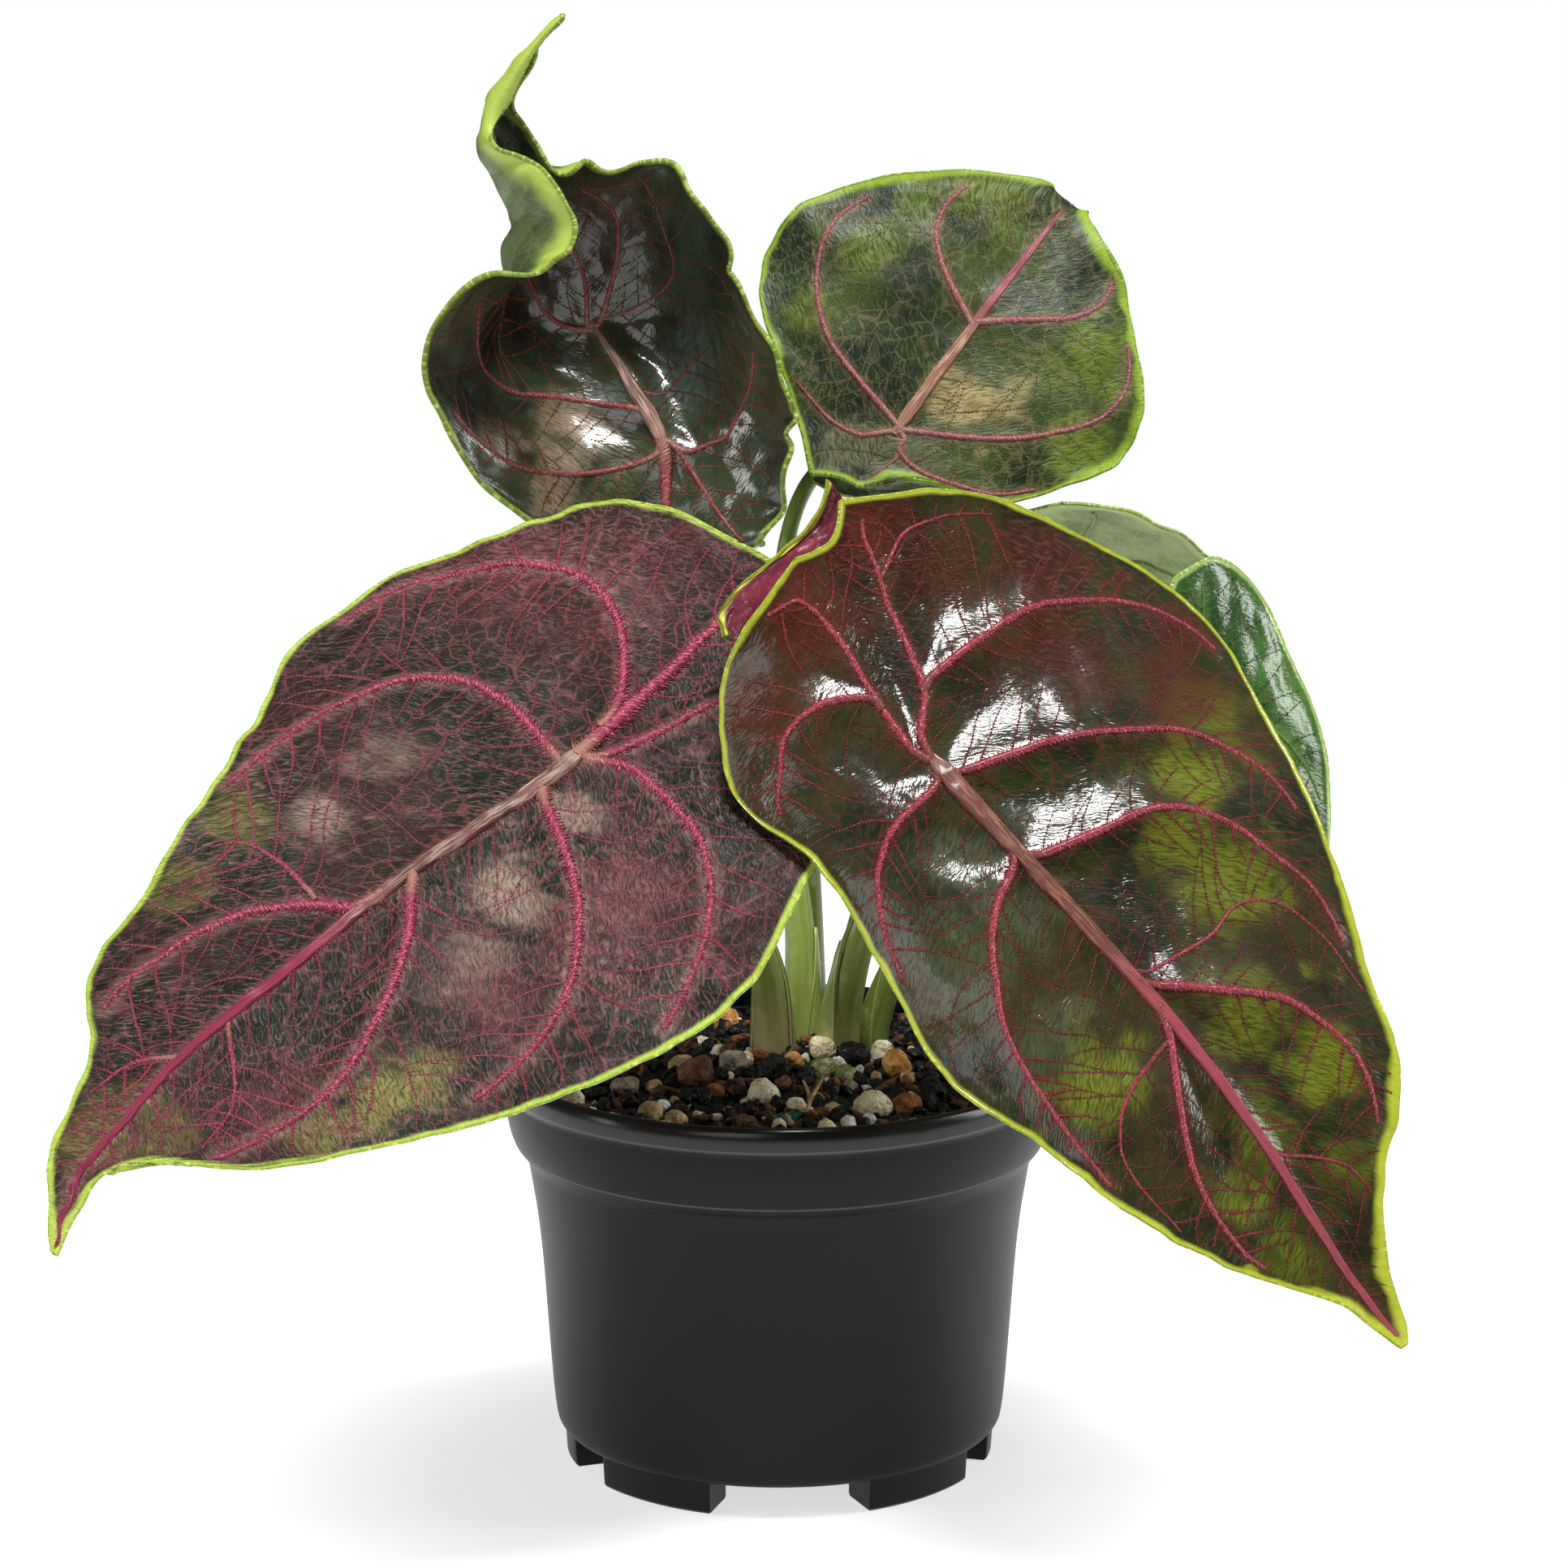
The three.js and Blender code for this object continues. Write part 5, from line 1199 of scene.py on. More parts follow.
leafUpperRight = {
    "hub": [25.3, 24, 220.6], "forward": [35.3, 18, 45], "face": [0.05, -0.9, 0.42], "hubRow": 2,
    "rows": [
        [-15, -9, -4, -19, 9], [-9, -5, -12, -12, 17], [0, 0, -27, -3, 28], [10, 12, -37, 5, 40],
        [22, 24, -43, 17, 47], [34, 35, -40, 30, 46], [45, 46, -30, 43, 37], [53, 55, -21, 54, 24],
        [58, 61, -10, 62, 12], [61, 64, -5, 65, 6], [66, 68, -4, 69, 5], [80, 80, -1, 80, 1],
    ],
    "bend": [[-20, -6], [0, 4], [60, -10], [72, -120], [85, -150]],
    "sway": [[0, 0]], "fold": [[0, 10]], "cup": [[0, -30]], "cupWidth": 50,
    "wave": 0.8, "waves": 5, "ruffle": [0.5, 0.4], "scallop": [0.3, 0.3],
    "midrib": [1.9, 9.2], "midribWidth": 3.4, "midribReddens": [26, 34], "veinWidths": [1.7, 0.7],
    "veins": [
        [[2.08, 0.01], [2.43, 0.36], [2.87, 0.58], [3.54, 0.7], [4.4, 0.78], [5.35, 0.85], [5.63, 0.86]],
        [[4.5, 0], [4.94, 0.23], [5.55, 0.44], [6.26, 0.61], [6.9, 0.77]],
        [[4.6, 0], [5.24, -0.26], [5.79, -0.53], [6.49, -0.76], [7.05, -0.87]],
        [[2.05, 0], [2.13, -0.08], [2.62, -0.34], [3.15, -0.55], [3.78, -0.68], [4.51, -0.81],
         [5.24, -0.89],
         [5.85, -0.93]],
        [[2, 0], [1.91, 0.02], [1.42, 0.28], [1.41, 0.63], [1.81, 0.9]],
        [[2, 0], [1.94, -0.09], [1.61, -0.18], [1.5, -0.6], [1.97, -0.87], [2.61, -0.95]],
    ],
    "thinVeins": [[[1.61, -0.18], [1.1, -0.21], [0.6, -0.22]]],
    "lobe": {
        "from": [[0.5, 0.75], [0.45, 0.3], [0.5, -0.4], [0.95, -0.75], [1.5, -0.8]],
        "to": [[7, 26, 209], [13, 27, 206], [20, 28, 205], [28, 26, 206], [36, 24, 206]],
        "hollow": 1.5,
        "skin": {"dark": "#1f2b17", "mid": "#31431f", "warm": "#455620", "edge": "#8a9430",
                 "edgePale": "#c8d060", "marginWidth": 1.0},
    },
    "gridRows": 132, "gridColumns": 86, "ridge": 1.0, "ridgeReach": 5, "unevenness": 0.25, "seed": 4,
    "puckers": 0.06, "netOrders": 1,
    "twigSpacing": 5.4, "twigWidth": 0.6, "netSpacing": 3.6, "netting": [0.15, 0.3], "hairLength": 0.35,
    "rimRadius": 0.42,
    "wideMargin": [[6, 1, 30, 0.7], [4.5, -1, 26, 0.7], [7.5, -0.6, 20, 1.0]], "slot": "leaf_green",
    "skin": {
        "dark": "#182415", "mid": "#28381e", "warm": "#3c4a20", "olive": "#5c6e1e",
        "blush": "#b09c6c", "shade": "#18211a", "grey": "#70705c", "cloudSize": 9.0, "net": 0.4,
        "mesh": 3.6, "netColour": "#7d7448", "fibreTurn": 0.8,
        "silk": 0.4, "silkColour": "#7c7f58", "halo": 0.35, "haloWidth": 2.2, "haloColour": "#8a6c54",
        "edge": "#6a861c", "edgePale": "#9cb440", "marginWidth": 0.8, "roughness": 0.4, "specular": 0.18,
        "fibreDepth": 0.2, "waxDepth": 0.1, "coat": 0.08, "coatRoughness": 0.3,
    },
    "colours": {
        "vein": ["#8f4450", "#c88a8c", "#9a5650", "#a88070", "#8f4450"],
        "midrib": ["#8f6450", "#cca28c", "#a07a5c", "#b08c70", "#9a545c"],
        "twig": ["#8a7450", "#a89468", "#786444", "#8a7450", "#565832"],
        "keel": greenKeel,
        "beneath": ["#76805a", "#8a926a", "#a3a57e", "#b5c468"],
    },
    "patches": {
        "olive": [[4.84, 0.59, 11, 0.8], [5.45, -0.68, 11, 0.9], [3.61, -0.84, 12, 0.9],
                  [7.05, 0.79, 11, 0.8], [3.3, 0.72, 8, 0.7], [5.95, 0.69, 9, 0.6], [4.6, -0.5, 9, 0.5],
                  [6.8, 0.3, 9, 0.5]],
        "blush": [[3.36, -0.2, 8, 0.9], [3.63, -0.39, 7, 0.6], [3.0, -0.12, 6, 0.7]],
        "shade": [[4.56, 0.32, 12, 0.9], [5.23, -0.13, 12, 0.7], [2.76, 0.39, 11, 0.8]],
        "grey": [[0.79, 0.4, 9, 0.6], [1.2, 0.1, 9, 0.7], [1.6, -0.4, 9, 0.5]],
    },
}
makeLeaf("upper_right", leafUpperRight)



def paired(veins):
    # each vein, followed by its mirror image across the midrib
    return [each for vein in veins for each in (vein, [[row, -across] for row, across in vein])]


smallLeaf = {
    "sway": [[0, 0]], "cup": [[0, -30]], "cupWidth": 40, "wave": 0.3, "waves": 4, "ruffle": [0.2, 0.2],
    "midrib": [1, 6.8], "midribWidth": 2.2, "midribReddens": [60, 80], "veinWidths": [1.2, 0.5],
    "thinVeins": [], "gridRows": 90, "gridColumns": 58, "ridgeReach": 5, "unevenness": 0.25,
    "netOrders": 1, "twigSpacing": 6, "twigWidth": 0.6, "netSpacing": 5, "netting": [0.4, 0.4],
    "hairLength": 0.3, "rimRadius": 0.4, "wideMargin": [], "patches": {},
}
leafBack = {
    **smallLeaf,
    "hub": [65, 42, 191], "forward": [50, 60, -52], "face": [0.3, 0.55, 0.75], "hubRow": 2.25,
    "rows": [
        [-24, -26, -12, -26, 12], [-16, -22, -24, -22, 24], [-4, -12, -31, -12, 31], [12, 7, -33, 7, 33],
        [24, 24, -27, 24, 27], [36, 38, -17, 38, 17], [45, 46, -8, 46, 8], [52, 52, -1, 52, 1],
    ],
    "bend": [[-24, 10], [0, 0], [30, -20], [52, -40]],
    "fold": [[0, 12]], "scallop": [0.15, 0.15], "ridge": 1.0, "seed": 5, "puckers": 0.05,
    "veins": paired([
        [[2.2, 0], [1.5, 0.4], [0.9, 0.7]], [[2.4, 0], [3.0, 0.5], [4.2, 0.85]],
        [[3.6, 0], [4.3, 0.5], [5.2, 0.8]],
    ]),
    "slot": "leaf_pale",
    "skin": {
        **leafUpperRight["skin"], "dark": "#3c4824", "mid": "#525f30", "warm": "#5f6a36", "silk": 0.3,
        "silkColour": "#8a9460", "haloColour": "#8a9660", "edge": "#8ba342", "edgePale": "#bccd86",
        "marginWidth": 0.7,
    },
    "colours": {
        "vein": ["#7d8a4e", "#a5ae72", "#7c8a4a", "#8a9658", "#7d8a4e"],
        "midrib": ["#8a9658", "#b4bc82", "#88945a", "#8a9658", "#8a9658"],
        "twig": ["#6d7a42", "#8a965c", "#6d7a42", "#6d7a42", "#525f30"],
        "keel": ["#9aa56c", "#b0b985", "#8f9a60", "#9aa56c", "#9aa56c"],
        "beneath": ["#6c8040", "#93a562", "#b0bc84", "#b0c478"],
    },
}
makeLeaf("back", leafBack)

leafSide = {
    **smallLeaf,
    "hub": [90, 6, 161.2], "forward": [30, 4, -60], "face": [0.45, -0.75, 0.35], "hubRow": 2.5,
    "rows": [
        [-26, -30, -8, -30, 8], [-20, -28, -18, -28, 20], [-8, -16, -24, -16, 27], [8, 4, -26, 4, 28],
        [24, 24, -24, 24, 25], [40, 42, -17, 42, 17], [54, 56, -8, 56, 8], [66, 66, -1, 66, 1],
    ],
    "bend": [[-30, -8], [0, 0], [66, -16]],
    "fold": [[0, 14]], "scallop": [0.1, 0.1], "ridge": 0.7, "seed": 6, "puckers": 0.03,
    "veins": paired([
        [[2.4, 0], [1.5, 0.4], [0.9, 0.7]], [[2.6, 0], [3.2, 0.5], [4.4, 0.85]],
        [[3.8, 0], [4.5, 0.5], [5.4, 0.8]],
    ]),
    "slot": "leaf_young",
    "skin": {
        **leafFrontRight["skin"], "dark": "#1f4218", "mid": "#356024", "warm": "#4a7030", "silk": 0.25,
        "silkColour": "#7f9f55", "haloColour": "#7f9f55", "edge": "#7ea03c", "edgePale": "#c4dd88",
        "marginWidth": 0.8,
    },
    "colours": {
        "vein": ["#4c7c30", "#74a04c", "#467428", "#6a8c44", "#4c7c30"],
        "midrib": ["#7a9c4c", "#a8c878", "#7aa04a", "#7a9c4c", "#7a9c4c"],
        "twig": ["#3c6828", "#5c8440", "#3c6828", "#3c6828", "#2c5420"],
        "keel": ["#8fae62", "#a8c47c", "#86a45a", "#8fae62", "#8fae62"],
        "beneath": ["#7d9a55", "#96b06c", "#a9c080", "#b4cc7c"],
    },
}
makeLeaf("side", leafSide)


# Stalks: the same routes as in the CAD solids, each with a pointed sheath round its foot. A sheath
# is [way it opens in degrees, height in mm, how far round it reaches in degrees].
stalks = {
    "front_left": {"radius": [5, 2.1], "sheath": [70, 40, 210], "points": [
        [-1.2, 13.8, 76], [-1.4, 13.5, 88], [-3, 11, 104], [-9, 3, 121], [-22, -14, 139], [-33, -29, 151]]},
    "front_right": {"radius": [5.2, 2.1], "sheath": [150, 44, 220], "points": [
        [12.6, 13.5, 76], [13, 13, 88], [15.5, 9, 104], [20, -3, 121], [26, -24, 140], [29, -42, 153]]},
    "upper_left": {"radius": [4.7, 1.8], "sheath": [0, 30, 150], "points": [
        [4.6, 22.4, 76], [4.8, 22.4, 90], [4, 24, 115], [-2, 29, 150], [-12, 33.5, 182], [-20, 34, 203]]},
    "upper_right": {"radius": [4, 1.7], "sheath": [180, 30, 150], "points": [
        [7, 30.6, 76], [7, 30.6, 92], [6, 32, 130], [2, 33, 168], [1, 33, 191], [6.5, 33, 208],
        [16, 32, 216]]},
    "back": {"radius": [4, 1.6], "sheath": [200, 26, 160], "points": [
        [13.2, 23.5, 76], [13.4, 23.6, 90], [19, 25, 116], [32, 30, 148], [47, 34, 170]]},
    "side": {"radius": [3.8, 1.6], "sheath": [180, 28, 180], "points": [
        [20.6, 19.2, 76], [21.2, 19.2, 90], [31, 19, 112], [54, 17, 136], [72, 15, 149]]},
}
stalkColours = {
    "front_left": ["#76843c", "#a3ac62", "#b0b078", "#b09c76"],
    "front_right": ["#74883c", "#a6b468", "#b4bc80", "#a8a06e"],
    "upper_left": ["#748a38", "#a4b45c", "#b0bc74", "#98a458"],
    "upper_right": ["#44561a", "#6c7c38", "#8c9458", "#5c6a2c"],
    "back": ["#4a5a1a", "#76843e", "#929a5a", "#66702c"],
    "side": ["#4c5c1a", "#7c8a42", "#98a060", "#6a7a30"],
}


def centripetal(points, samples):
    # Catmull-Rom through the points with centripetal spacing, sampled evenly by length
    points = np.asarray(points, float)
    points = np.concatenate([[2 * points[0] - points[1]], points, [2 * points[-1] - points[-2]]])
    line = []
    for k in range(1, len(points) - 2):
        p = points[k - 1:k + 3]
        gaps = np.sqrt(np.linalg.norm(np.diff(p, axis=0), axis=1))
        t0, t1, t2, t3 = 0, gaps[0], gaps[0] + gaps[1], gaps.sum()
        t = np.linspace(t1, t2, 40, endpoint=k == len(points) - 3)[:, None]
        a1 = (t1 - t) / (t1 - t0) * p[0] + (t - t0) / (t1 - t0) * p[1]
        a2 = (t2 - t) / (t2 - t1) * p[1] + (t - t1) / (t2 - t1) * p[2]
        a3 = (t3 - t) / (t3 - t2) * p[2] + (t - t2) / (t3 - t2) * p[3]
        b1 = (t2 - t) / (t2 - t0) * a1 + (t - t0) / (t2 - t0) * a2
        b2 = (t3 - t) / (t3 - t1) * a2 + (t - t1) / (t3 - t1) * a3
        line.append((t2 - t) / (t2 - t1) * b1 + (t - t1) / (t2 - t1) * b2)
    line = np.concatenate(line)
    length = lengthAlong(line)
    at = np.linspace(0, length[-1], samples)
    return np.stack([np.interp(at, length, line[:, k]) for k in range(3)], axis=-1), at


def makeStalk(name, stalk):
    steps, sides = 90, 24
    centre, along = centripetal(stalk["points"] + hubPoints[name], steps)
    heading = unit(np.gradient(centre, axis=0))
    normal = np.zeros_like(heading)
    normal[0] = unit(np.cross([0, 1, 0], heading[0]))
    for k in range(1, steps):
        normal[k] = unit(normal[k - 1] - normal[k - 1].dot(heading[k]) * heading[k])
    sideways = np.cross(heading, normal)
    share = np.linspace(0, 1, steps)
    start, end = stalk["radius"]
    radius = end + (start - end) * (1 - share) ** 3
    angle = evenTurns(sides)
    # slight ridges round the stalk, and a thicker joint just under the blade
    ridges = 0.025 * np.cos(6 * angle)[None, :] + 0.02 * np.cos(11 * angle + 1)[None, :]
    joint = 1 + 0.16 * smooth(0.9, 1, share)
    size = radius[:, None] * joint[:, None] * (1 + ridges)

    def around(size, angle):
        onCircle = (np.cos(angle)[..., None] * normal[:, None]
                    + np.sin(angle)[..., None] * sideways[:, None])
        return size[..., None] * onCircle

    points = centre[:, None] + around(size, np.broadcast_to(angle, size.shape))
    quads = gridQuads(steps, sides, closed=True)
    ends = endCaps(sides, (steps - 1) * sides, flipped=True)
    flat = np.stack([np.repeat(along, sides), np.tile(np.cos(angle) * 3, steps),
                     np.tile(np.sin(angle) * 3, steps)], axis=-1)
    skin = stalkSkin("stalkSkin_" + name, stalkColours[name])
    piece = makeMesh("stalk_" + name, points.reshape(-1, 3), quads, ends, [skin], None,
                     {"leafPlace": flat, "edge": np.full(len(flat), 9.0)})
    # the sheath: a leaf base that wraps the stalk and runs up to a point on one side
    opens, height, reach = stalk["sheath"]
    buried, thickness = 6, 0.7  # millimetres of stalk below the sheath's foot, and of sheath
    t = np.clip((along - buried) / height, 0, 1)
    half = np.radians(reach / 2) * (1 - t ** 1.6) + 0.02
    columns = np.linspace(-1, 1, 28)
    wrap = np.radians(opens) + half[:, None] * columns[None, :]
    flare = 0.5 + 0.12 * np.abs(columns)[None, :] ** 3 * (1 - t)[:, None]
    keep = along < buried + height
    middle = centre[:, None] + around(radius[:, None] + flare, wrap)
    out = around(np.ones_like(wrap), wrap)
    rim = (1 - np.abs(columns))[None, :] * half[:, None] * (radius[:, None] + 1)
    place = np.stack(np.broadcast_arrays(along[:, None], wrap * 4, np.zeros_like(wrap)), axis=-1)
    fields = {"leafPlace": place[keep].reshape(-1, 3), "edge": rim[keep].ravel()}
    sheath = sheetPiece("sheath_" + name, middle[keep], out[keep], [skin] * 3, fields, thickness / 2)
    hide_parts("petiole_" + name)
    for each in (piece, sheath):
        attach(each, "root")


for name, stalk in stalks.items():
    makeStalk(name, stalk)
print("stalks done")


# Pot: one moulding with a rolled lip, a collar, six feet and six drain slots
pot = {
    "outside": [
        [46.6, 7.0], [47.9, 7.4], [48.8, 9.4], [50, 24], [51.3, 44], [52.4, 54.5], [53.6, 62], [54.3, 66.4],
        [54.9, 68.2], [56.4, 69.6], [57.4, 71], [58.4, 74], [59.1, 78], [59.3, 81.6], [59.3, 82.6],
        [59.9, 83.2],
        [60.1, 84.6], [60.1, 86.6], [59.7, 88.2], [58.8, 88.95],
    ],
    "inside": [[57.9, 88.7], [57.2, 87.6], [56.8, 80], [54, 69.5], [52, 61], [49.7, 44], [47.3, 10.2],
               [46, 9.2]],
    "sides": 132, "floorUnder": 7.0, "floorTop": 9.2,
    "feetMiddles": [-126, -48, 3, 57, 128, 182], "feetSpan": 35.5, "feetOuter": 46.9, "feetInner": 36,
    "feetHeight": 7.4,
    "slotMiddles": [-87, -22.5, 30, 92.5, 155, 208], "slotRadius": 28, "slotSize": [5, 12], "slotSides": 28,
    "slotCut": [4.0, 12.0], "sharpAngle": 38,
}


def rounded(profile, rounds=2):
    # cuts the corners of an open line, which leaves its ends where they are
    line = np.array(profile, float)
    for _ in range(rounds):
        a, b = line[:-1], line[1:]
        cut = np.stack([0.75 * a + 0.25 * b, 0.25 * a + 0.75 * b], axis=1).reshape(-1, 2)
        line = np.concatenate([line[:1], cut[1:-1], line[-1:]])
    return line


def prism(batch, outline, low, high):
    # a straight-sided block over an outline of (x, y) places
    count = len(outline)
    points = np.concatenate([np.column_stack([outline, np.full(count, z)]) for z in (low, high)])
    side = [[k, (k + 1) % count, (k + 1) % count + count, k + count] for k in range(count)]
    batch.add(points, side, endCaps(count, count, flipped=True))


def makePot():
    plastic = mouldedPolypropylene()
    line = rounded(pot["outside"] + pot["inside"])
    sides = pot["sides"]
    angle = evenTurns(sides)
    rings = np.stack([line[:, :1] * np.cos(angle), line[:, :1] * np.sin(angle),
                      np.repeat(line[:, 1:], sides, axis=1)], axis=-1).reshape(-1, 3)
    under, floor = len(rings), len(rings) + 1
    last = (len(line) - 1) * sides
    caps = [[under, (k + 1) % sides, k] for k in range(sides)]
    caps += [[floor, last + k, last + (k + 1) % sides] for k in range(sides)]
    points = np.concatenate([rings, [[0, 0, pot["floorUnder"]], [0, 0, pot["floorTop"]]]])
    wall = gridQuads(len(line), sides, closed=True)[:, ::-1]
    body = makeMesh("pot_wall", points, wall, caps, [plastic])
    slots = Batch()
    long, wide = pot["slotSize"]
    for middle in np.radians(pot["slotMiddles"]):
        turns = np.linspace(0, 2 * math.pi, pot["slotSides"], endpoint=False)
        x = wide / 2 * np.sin(turns) * 0.42 + np.sign(np.sin(turns)) * wide * 0.29
        y = long / 2 * np.cos(turns)
        spot = np.stack([pot["slotRadius"] + y, x], axis=-1)
        turn = np.array([[math.cos(middle), math.sin(middle)], [-math.sin(middle), math.cos(middle)]])
        prism(slots, spot @ turn, *pot["slotCut"])
    cutter = slots.piece("slot_cutter", [plastic])
    cut = body.modifiers.new("slots", "BOOLEAN")
    cut.operation, cut.solver, cut.object = "DIFFERENCE", "EXACT", cutter
    view = bpy.context.evaluated_depsgraph_get()
    done = bpy.data.meshes.new_from_object(body.evaluated_get(view))
    body.modifiers.clear()
    body.data = done
    bpy.data.objects.remove(cutter)
    # each foot is an arc-shaped block with softened edges and a slightly leaning outer face
    feet = Batch()
    low, high = 0.0, pot["feetHeight"]
    inner, outer, soften, lean = pot["feetInner"], pot["feetOuter"], 0.6, 0.4
    section = np.array([[inner, high], [inner, low + soften], [inner + soften, low],
                        [outer - soften - lean, low], [outer - lean, low + soften], [outer, high]])
    places = np.array([-1, -0.97, *np.linspace(-0.9, 0.9, 11), 0.97, 1])
    shrink = np.array([0.5] + [0.0] * 13 + [0.5])
    for middle in pot["feetMiddles"]:
        turns = np.radians(middle + pot["feetSpan"] / 2 * places)
        arc = []
        for turn, ease in zip(turns, shrink):
            near = section + ease * (np.array([(inner + outer) / 2, high]) - section) * 0.06
            reach, height = near.T
            arc.append(np.stack([reach * math.cos(turn), reach * math.sin(turn), height], axis=-1))
        count, steps = len(section), len(turns)
        caps = endCaps(count, (steps - 1) * count)
        feet.add(np.concatenate(arc), gridQuads(steps, count, closed=True), caps)
    feetPiece = feet.piece("pot_feet", [plastic])
    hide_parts("pot")
    for each in (body, feetPiece):
        each.data.set_sharp_from_angle(angle=math.radians(pot["sharpAngle"]))
        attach(each, "root")
    return line


potLine = makePot()
print("pot done")


# Potting mix: a crumbly bed with grains, bark, straw and white specks. A stone is
# [x, y, radius in mm, kind].
soil = {
    "edgeHeight": 82.5, "mound": 4, "moundSpread": 24, "crown": [6.5, 20.5], "reach": 56.6,
    "sides": 228, "rings": 86, "crumbs": 1150, "crumbReach": 55.4,
    "stones": [
        [20, -26.5, 3.7, "cream"], [-3.5, -17, 3.3, "cream"], [25.5, 2, 3.3, "orange"],
        [27, -25.5, 3, "rust"],
        [9.5, 7.5, 2.8, "cream"], [22.5, 12, 2.6, "cream"], [10, -2, 3, "green"], [3, 1.5, 2.5, "orange"],
        [-18, -4, 3.8, "brown"], [-10, 3, 2.8, "grey"], [-27, -31.5, 2.8, "tan"], [-21.5, -33, 2.3, "tan"],
        [-20.5, 19.5, 3, "brown"], [33, -13, 3, "black"], [-33, -9.5, 3, "grey"], [38, -19, 2.6, "black"],
        [-44, -20, 2.8, "cream"], [16, 6, 3.4, "black"], [-1, -4, 3.4, "black"], [-21, 3, 3, "tan"],
        [14.5, -4.5, 2.4, "green"], [11.5, -27, 2, "tan"], [-13.5, -14.5, 2.2, "rust"],
        [-32, 6, 2.6, "brown"],
        [35, 4, 3, "brown"], [40, 10, 2.6, "rust"], [-7.5, 5.5, 1.9, "cream"], [14.5, -37.5, 1.8, "white"],
        [19, -34, 1.4, "white"], [-24.5, -24, 1.5, "white"], [27.5, -22, 1.3, "white"],
        [13, 2.5, 1.7, "white"],
        [0, -38, 1.5, "cream"], [-13, -30, 1.2, "white"], [33, -6, 1.4, "cream"], [8, -18, 1.6, "orange"],
        [-38, 26, 3, "cream"], [-12, 42, 3.2, "orange"], [20, 44, 2.8, "brown"], [44, 26, 3, "cream"],
        [-46, 4, 2.6, "rust"], [-30, 40, 2.4, "grey"], [38, 36, 2.2, "green"], [2, 50, 2.2, "tan"],
    ],
    "kinds": {
        "cream": ["#e0cfa4", "#fff6de", "#80643e"], "orange": ["#b4742e", "#e2b06a", "#5a3414"],
        "rust": ["#6a3a18", "#a8683a", "#2c160a"], "brown": ["#4a2c1e", "#80543c", "#1c100a"],
        "tan": ["#a58660", "#dcc296", "#4a3424"], "grey": ["#6c6558", "#a89c88", "#2c2620"],
        "green": ["#70784c", "#b4ba86", "#2c3018"], "black": ["#030303", "#0c0806", "#1c140e"],
        "white": ["#d8d4c8", "#ffffff", "#8c8474"],
    },
    "scattered": {
        "black": 0.79, "brown": 0.07, "rust": 0.04, "tan": 0.03, "grey": 0.01, "cream": 0.02, "white": 0.04,
    },
}


def soilHeight(x, y):
    distance = np.hypot(x - soil["crown"][0], y - soil["crown"][1])
    mound = soil["mound"] * np.exp(-(distance / soil["moundSpread"]) ** 2)
    return (soil["edgeHeight"] + mound + 0.5 * np.sin(0.41 * x + 1.3) * np.cos(0.37 * y)
            + 0.35 * np.sin(0.83 * x - 0.71 * y))


def randomSpot(random, reach):
    # a place spread evenly over a disc
    distance = reach * math.sqrt(random.random())
    turn = random.uniform(0, 2 * math.pi)
    return distance * math.cos(turn), distance * math.sin(turn)


def roundTemplate(level):
    ball = bmesh.new()
    bmesh.ops.create_icosphere(ball, subdivisions=level, radius=1)
    points = np.array([list(corner.co) for corner in ball.verts])
    faces = np.array([[corner.index for corner in face.verts] for face in ball.faces])
    ball.free()
    return points, faces


def lumps(points, wavelength, random, waves=10):
    total = 0
    for _ in range(waves):
        way = unit(random.normal(size=3)) / (wavelength * random.uniform(0.7, 1.5))
        total = total + np.cos(2 * math.pi * (points @ way) + random.uniform(0, 2 * math.pi))
    return total / math.sqrt(waves)


def addGrain(batch, random, template, place, radius, stretch=0.2, lump=0.14):
    # one broken grain: a lumpy, slightly flattened ball turned at random
    points, faces = template
    swell = 1 + lump * lumps(points, 1.5, random) + 0.4 * lump * lumps(points, 0.6, random)
    shaped = points * swell[:, None]
    shaped = shaped * random.uniform(1 - stretch, 1 + stretch, 3)
    turn = np.array(Matrix.Rotation(random.uniform(0, 2 * math.pi), 3, unit(random.normal(size=3))))
    batch.add(shaped @ turn.T * radius + place, None, faces)


